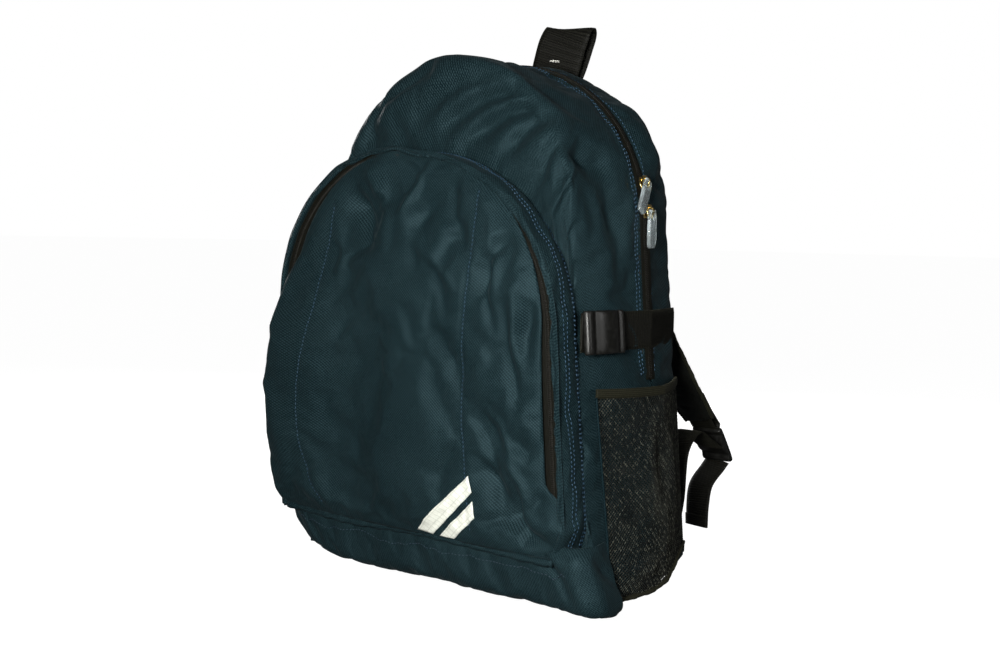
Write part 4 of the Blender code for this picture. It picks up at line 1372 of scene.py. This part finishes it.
def handle():
    """Haul loop, turned about its sewn foot and leaning to one side."""
    line = route(HANDLE_ROUTE, 0.001)
    t = np.linspace(0, 1, len(line))
    lean = np.sin(math.pi * t)
    tilt = 0.30 * lean - HANDLE_TURN
    cos, sin = math.cos(HANDLE_TURN), math.sin(HANDLE_TURN)
    x, y = line[:, 0] - 0.003, line[:, 1] - 0.0812
    line[:, 0], line[:, 1] = x * cos - y * sin + 0.004 * lean, 0.0812 + x * sin + y * cos
    side = np.stack([np.cos(tilt) * cos, np.cos(tilt) * sin, np.sin(tilt)], axis=1)
    return webbing("haul_handle_web", line, 0.044, 0.0017, "black_web", side, 0.0016, 13), line, side


# ---------------------------------------------------------------- shoulder straps
PAD_ROUTE = ((0.046, 0.090, 0.358), (0.054, 0.098, 0.325), (0.064, 0.103, 0.270),
             (0.081, 0.112, 0.211), (0.096, 0.134, 0.166), (0.111, 0.166, 0.119))
LOWER_ROUTE = ((0.1135, 0.1890, 0.0915), (0.1138, 0.179, 0.0945), (0.1145, 0.160, 0.1035),
               (0.117, 0.136, 0.112),
               (0.121, 0.109, 0.098), (0.125, 0.097, 0.060), (0.126, 0.0865, 0.034))
TAB_ROUTE = ((0.1060, 0.1600, 0.142), (0.109, 0.1672, 0.1300), (0.112, 0.1800, 0.1145),
             (0.1122, 0.1785, 0.1095), (0.1115, 0.1735, 0.1115), (0.1100, 0.1660, 0.121))
TAIL_ROUTE = ((0.1135, 0.1975, 0.0785), (0.1120, 0.1915, 0.0725), (0.108, 0.178, 0.058),
              (0.109, 0.171, 0.040),
              (0.109, 0.171, 0.021))


def mirrored(points, side):
    return [(side * x, y, z) for x, y, z in points]


def shoulder_pad(side, label):
    """Foam strap, wide at the shoulder; its cloth swells between its bound edges."""
    line = route(mirrored(PAD_ROUTE, side), 0.004)
    n = len(line)
    ahead = unit(np.gradient(line, axis=0))
    across = np.tile([1.0, 0, 0], (n, 1))
    across = unit(across - ahead * (across * ahead).sum(axis=1, keepdims=True))
    up = np.cross(across, ahead)
    up *= np.sign(up[:, 1:2].mean())
    half = np.interp(np.linspace(0, 1, n), (0, 0.12, 0.45, 0.8, 1), (0.030, 0.030, 0.0275, 0.021, 0.015))
    u = np.linspace(-1, 1, 15)
    flat = line[:, None] + across[:, None] * (u * half[:, None])[..., None]
    raised = up[:, None] * (0.0036 * (1 - 0.75 * np.abs(u) ** 4))[None, :, None]
    loop = np.concatenate([flat + raised, (flat - raised)[:, ::-1]], axis=1)
    item = grid_object(f"shoulder_pad_{label}_soft", np.concatenate([loop, loop[:, :1]], axis=1), "pad")
    cleaned(item, 1e-5, 40)
    add_modifier(item, "REMESH", mode="VOXEL", voxel_size=0.0025)
    points = coords(bake(item))
    near = np.array([np.linalg.norm(points - p, axis=1) for p in line]).argmin(axis=0)
    reach = np.abs(((points - line[near]) * across[near]).sum(axis=1)) / half[near]
    simulate(item, 1 - ease(reach, 0.72, 0.95), 0.01, 0.0022, 14, 4.0)
    smoothed(item)
    edges = [seam_roll(f"pad_binding_{label}_{end}", line + across * (sign * half)[:, None], 0.0017,
                       "binding", 1.0) for end, sign in (("a", -1), ("b", 1))]
    return item, edges


def shoulder_set(side, label):
    body = f"shoulder_strap_{label}"
    pad, edges = shoulder_pad(side, label)
    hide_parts(f"shoulder_pad_{label}")
    tab = webbing(f"strap_tab_{label}_web", mirrored(TAB_ROUTE, side), 0.0245)
    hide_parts(f"strap_tab_{label}")
    lower = webbing(f"lower_webbing_{label}_web", route(mirrored(LOWER_ROUTE, side), 0.001), STRAP_WIDTH)
    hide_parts(f"lower_webbing_{label}")
    tail_line = route(mirrored(TAIL_ROUTE, side), 0.001)
    sway = np.tile([1.0, 0, 0], (len(tail_line), 1))
    sway[:, 1] = np.linspace(0.0, -0.20, len(tail_line)) * side
    tail = webbing(f"strap_tail_{label}_web", tail_line, STRAP_WIDTH, side=sway)
    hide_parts(f"strap_tail_{label}")
    hem = webbing(f"tail_hem_{label}", tail_line[-11:] + [0, -0.0014, 0], STRAP_WIDTH + 0.0002,
                  side=sway[-11:])
    for item in (pad, tab, lower, tail, hem, *edges):
        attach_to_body(item, body)
    top, foot = (Vector(p) for p in mirrored(((0.112, 0.176, 0.112), (0.114, 0.201, 0.079)), side))
    fall = math.atan2(foot.y - top.y, top.z - foot.z)
    turn = Matrix.Rotation(math.pi / 2 + fall, 3, "X")
    item = lock(f"strap_lock_{label}_moulded", (top - foot).length, STRAP_WIDTH, (top + foot) / 2, turn)
    attach(item, f"shoulder_lock_{label}", "black_plastic", f"strap_lock_{label}")


# ---------------------------------------------------------------- back
def back_pad():
    """Foam back, bound at its edge, with two shallow channels down it."""
    outline = arch_ring(inset(skin(BACK_Y), 0.003), 0.006, 0, 200)[:, [0, 2]]
    item = trimmed_sheet("back_pad", outline, 0.005, lambda x, z, gap: BACK_Y - 0.0025 + 0 * x, "navy")
    solid(item, 0.006, 0.0)
    add_modifier(item, "REMESH", mode="VOXEL", voxel_size=0.0045)
    points = coords(bake(item))
    gap, _, _ = outline_gap(outline, points[:, [0, 2]])
    channel = np.minimum(np.abs(np.abs(points[:, 0]) - PAD_CHANNEL_X), 1.0)
    free = ease(gap, 0.004, 0.016) * (0.25 + 0.75 * ease(channel, 0.002, 0.012))
    simulate(item, free, 0.01, 0.0045, 14, 4.0)
    points = coords(smoothed(item))
    gap, _, _ = outline_gap(outline, points[:, [0, 2]])
    swell = 0.0035 * ease(gap, 0.0, 0.05)
    outer = points[:, 1] > BACK_Y - 0.0025
    channel = np.exp(-((np.abs(points[:, 0]) - PAD_CHANNEL_X) / 0.004) ** 2) * ease(gap, 0.0, 0.02)
    points[:, 1] += outer * (swell - 0.0022 * channel)
    put_coords(item, points)
    return item


# ---------------------------------------------------------------- assembly
def attach(item, body, slot, *nodes):
    """Hide the CAD nodes a piece stands for and parent it to its body's empty; on the lean or lid hinge its
    transform is only baked in. The slot argument is not used.
    """
    if nodes:
        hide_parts(*nodes)
    if body == "lean":
        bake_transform(item)
    elif body == "lid":
        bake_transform(item)
    else:
        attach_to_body(item, body)


def inner_sheet(name, arch, depth, crumple, thickness, look):
    """Flat cloth inside the bag, slightly uneven: crumple is its size, height and seed."""
    item = trimmed_sheet(name, arch_ring(arch, 0.006, 0, 160)[:, [0, 2]], 0.006, depth, look)
    points = coords(item)
    points[:, 1] += rumple(points[None], *crumple)[0]
    put_coords(item, points)
    smooth_more(item)
    return solid(item, thickness)


def add_bag():
    front = front_cloth()
    attach(front, "lean", "navy", "front_gusset", "side_gusset_left", "side_gusset_right")
    panel = inner_sheet("front_panel_cloth", POCKET_SEAM,
                        lambda x, z, gap: -0.0572 + 0.002 * ease(gap, 0, 0.04) + 0 * x,
                        (0.06, 0.0018, 2.9), 0.0008, "navy")
    attach(panel, "bag_front", "navy", "front_panel")
    rear = rear_cloth()
    attach(rear, "bag_back", "navy", "rear_gusset")
    foot = solid(boot(), 0.0012)
    attach(foot, "bag_front", "navy", "boot_band")
    attach(base_cloth(), "bag_back", "navy", "base_panel")
    lining = inner_sheet("back_lining_cloth", inset(skin(BACK_Y), 0.004),
                         lambda x, z, gap: 0.0705 - 0.0012 * ease(gap, 0, 0.03) + 0 * x,
                         (0.05, 0.0012, 4.1), 0.0006, "lining")
    attach(lining, "bag_back", "lining", "back_lining")
    pad = back_pad()
    attach(pad, "bag_back", "navy", "back_panel", "back_foam")
    return front, rear, foot


def add_main_zip(front, rear):
    made = main_zip()
    for label, body in (("front", "lean"), ("rear", "bag_back")):
        attach(made[label], body, "zip_tape", f"zip_tape_{label}")
        attach(made[f"coil_{label}"], body, "zip_tape", f"zip_coil_{label}")
    for label, body, item, ys in (("front", "lean", front, (0.0118, 0.0083)),
                                  ("rear", "bag_back", rear, (0.0305,))):
        surface = Surface(item)
        rows = []
        for y in ys:
            laid = [surface.lay([p], 0.00005, Vector((p[0], 0, max(p[2] - 0.28, 0.0))).normalized())
                    for p in arch_ring(inset(skin(y), -0.002), 0.172, y, 500)]
            rows.append((np.array([p[0] for p, _ in laid]), np.array([n[0] for _, n in laid])))
        attach(stitches(f"zip_stitches_{label}", rows), body, "navy")


def add_sliders():
    for label, degrees, tilt, swing in (("upper", 15.5, -32.0, -7.0), ("lower", 6.0, 0.0, 0.0)):
        angle = math.radians(degrees)
        body = slider(f"slider_{label}_brass", zip_point(angle, 0.003), Matrix.Rotation(-angle, 3, "Y"))
        attach(body, f"main_slider_{label}", "brass", f"zip_slider_{label}")
        turn = Matrix.Rotation(math.radians(tilt), 3, "X") @ Matrix.Rotation(math.radians(swing), 3, "Y")
        tag = pull(f"pull_{label}_moulded", zip_point(angle, 0.0072), turn)
        attach(tag, f"main_pull_{label}", "clear_plastic", f"zip_pull_{label}")
    x, y, z = POCKET_SLIDER
    turn = Matrix.Rotation(-math.pi / 2, 3, "Z")
    body = slider("pocket_slider_brass", (x, y - 0.0042, z), turn)
    attach(body, "pocket_slider_body", "brass", "pocket_slider")
    tag = pull("pocket_pull_moulded", (x, y - 0.0086, z), turn)
    attach(tag, "pocket_pull_body", "clear_plastic", "pocket_pull")


def add_pocket():
    wall = solid(pocket_wall(), 0.0011)
    attach(wall, "bag_front", "navy", "pocket_gusset", "pocket_flap")
    lid = pocket_front()
    for seam in PRINCESS_SEAMS:
        groove(lid, Surface(lid).drop(route(seam, 0.003))[0])
    solid(lid, 0.0011)
    attach(lid, "lid", "navy", "pocket_panel_left", "pocket_panel_centre", "pocket_panel_right")
    on_lid, on_wall = Surface(lid), Surface(wall)
    outer, inner, chain = pocket_zip()
    attach(outer, "bag_front", "zip_tape", "pocket_zip_tape_outer")
    attach(inner, "lid", "zip_tape", "pocket_zip_tape_inner")
    attach(chain, "bag_front", "zip_tape")
    for label, top, low in SAFETY_BARS:
        attach(bar(f"safety_bar_{label}", top, low, on_lid), "lid", "reflective", f"reflective_bar_{label}")
    foot = [(x, -0.0892 - 0.001 * math.sin(x * 60), 0.0400 + 0.0012 * math.sin(x * 35 + 1))
            for x in np.linspace(-0.152, 0.136, 90)]
    attach(seam_roll("pocket_foot_seam", foot, 0.0030, "navy", 0.8), "lid", "navy")
    xs, ys = np.meshgrid(np.linspace(-0.152, 0.146, 60), np.linspace(-0.0575, -0.0885, 12))
    sheet = np.stack([xs, ys, 0.0412 + 0.001 * np.sin(xs * 60)], axis=-1)
    floor = solid(grid_object("pocket_floor_cloth", sheet, "navy"), 0.0008, 0.0)
    attach(floor, "lid", "navy", "pocket_base")
    seams = [on_lid.drop([(x + 0.0014, y, z) for x, y, z in route(seam, 0.003)]) for seam in PRINCESS_SEAMS]
    attach(stitches("pocket_stitches", seams), "lid", "navy")
    rows = []
    for y, start in ((-0.0790, 0.47), (-0.0750, 0.45), (-0.0635, 0.42), (-0.0605, 0.42)):
        line = arch_ring((0.165, 0.146, 0.352), POCKET_LOW + 0.004, y, 420)
        ways = offset_ring(line, 1.0) - line
        turned = np.linspace(0, 1, 420) > start
        rows.append(on_wall.drop(line[turned], ways[turned]))
    attach(stitches("flap_stitches", rows), "bag_front", "navy")


def add_foot_stitches(foot):
    line = [(x, -0.10, 0.0295 + 0.0015 * math.sin(x * 30)) for x in np.linspace(-0.145, 0.145, 120)]
    sewn = Surface(foot).lay(respace(np.array(line), 0.0025), 0.00005)
    attach(stitches("foot_stitches", [sewn], "thread_dark"), "bag_front", "navy")


def side_strap(side, label):
    """Compression strap: sewn tab, ladder lock, and webbing back to the rear seam."""
    upright = (0, 0, 1.0)
    tab = webbing(f"side_tab_{label}_web", side_line(side, -0.062, -0.0510, 0.0024), 0.0295, 0.0017,
                  side=upright)
    attach(tab, "bag_front", "black_web", f"side_tab_{label}")
    back = side_line(side, -0.034, 0.0755, 0.0020)
    back[:, 0] += side * 0.0022 * np.exp(-((back[:, 1] + 0.030) / 0.012) ** 2)
    strap = webbing(f"side_strap_{label}_web", back, 0.030, 0.0017, side=upright)
    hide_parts(f"side_strap_{label}")
    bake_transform(strap)
    middle, rear = -0.035, -0.017
    reach = half_width(skin(middle), STRAP_Z)
    sweep = math.atan((half_width(skin(rear), STRAP_Z) - reach) / (rear - middle))
    fall = math.atan((half_width(skin(middle), 0.0) - reach) / STRAP_Z)
    turn = Matrix.Rotation(-side * sweep, 3, "Z") @ Matrix.Rotation(-side * fall, 3, "Y")
    turn = turn @ Matrix.Rotation(side * math.pi / 2, 3, "Y")
    centre = (side * (reach + 0.0050), middle - 0.0050, STRAP_Z)
    item = lock(f"side_lock_{label}_moulded", 0.045, 0.030, centre, turn)
    attach(item, f"compression_lock_{label}", "black_plastic", f"side_lock_{label}")


def add_sides():
    for side, label in ((1, "right"), (-1, "left")):
        net = side_net(side, label)
        attach(net, "lean", "mesh", f"mesh_pocket_{label}")
        binding, roll, foot_roll = net_edges(side, label)
        attach(binding, "lean", "black_web", f"mesh_elastic_{label}")
        attach(roll, "lean", "navy")
        attach(foot_roll, "lean", "navy")
        side_strap(side, label)


def anchor_point(way, s, t):
    """Point of a lower corner tab: s runs outward along it and t across it, both 0 to 1."""
    fan = (0.012 - 0.010 * s) * (t - 0.5) * 2 * (0.5 + 1.1 * s)
    return way * (0.113 + 0.035 * s), 0.0805 + 0.001 * math.sin(3 * s) * t, 0.017 + fan + 0.006 * s


def add_carrying():
    strap, line, side = handle()
    attach(strap, "handle", "black_web", "haul_handle")
    bars = []
    first = int(len(line) * 0.20)
    for i in (first, first + 1):
        out = np.cross(line[i + 6] - line[i], side[i])
        out *= -np.sign(out[1]) / np.linalg.norm(out)
        middle = line[i] - side[i] * 0.0085 + out * 0.0013
        bars.append((np.array([middle, middle + side[i] * 0.011]), np.tile(out, (2, 1))))
    attach(stitches("handle_bartack", bars, "white_thread", 0.0024, 0.0022, 0.00034), "handle", "black_web")
    for way, label in ((1, "right"), (-1, "left")):
        shoulder_set(way, label)
        points = [[anchor_point(way, s, t) for s in np.linspace(0, 1, 14)] for t in np.linspace(0, 1, 12)]
        tab = solid(grid_object(f"lower_anchor_{label}_cloth", points, "black_web"), 0.0018, 0.0)
        attach(tab, "bag_back", "black_web", f"lower_anchor_{label}")
    yoke = rounded_box("strap_yoke_cloth", (0.140, 0.0022, 0.036), "navy", (0, 0.0838, 0.376), 0.0009)
    attach(yoke, "bag_back", "navy", "strap_yoke")


camera()
LOOKS = make_materials()
add_lights()
add_world()
add_floor()
front, rear, foot = add_bag()
add_main_zip(front, rear)
thicken(front, 0.0011)
thicken(rear, 0.0011)
add_sliders()
add_pocket()
add_foot_stitches(foot)
add_sides()
add_carrying()
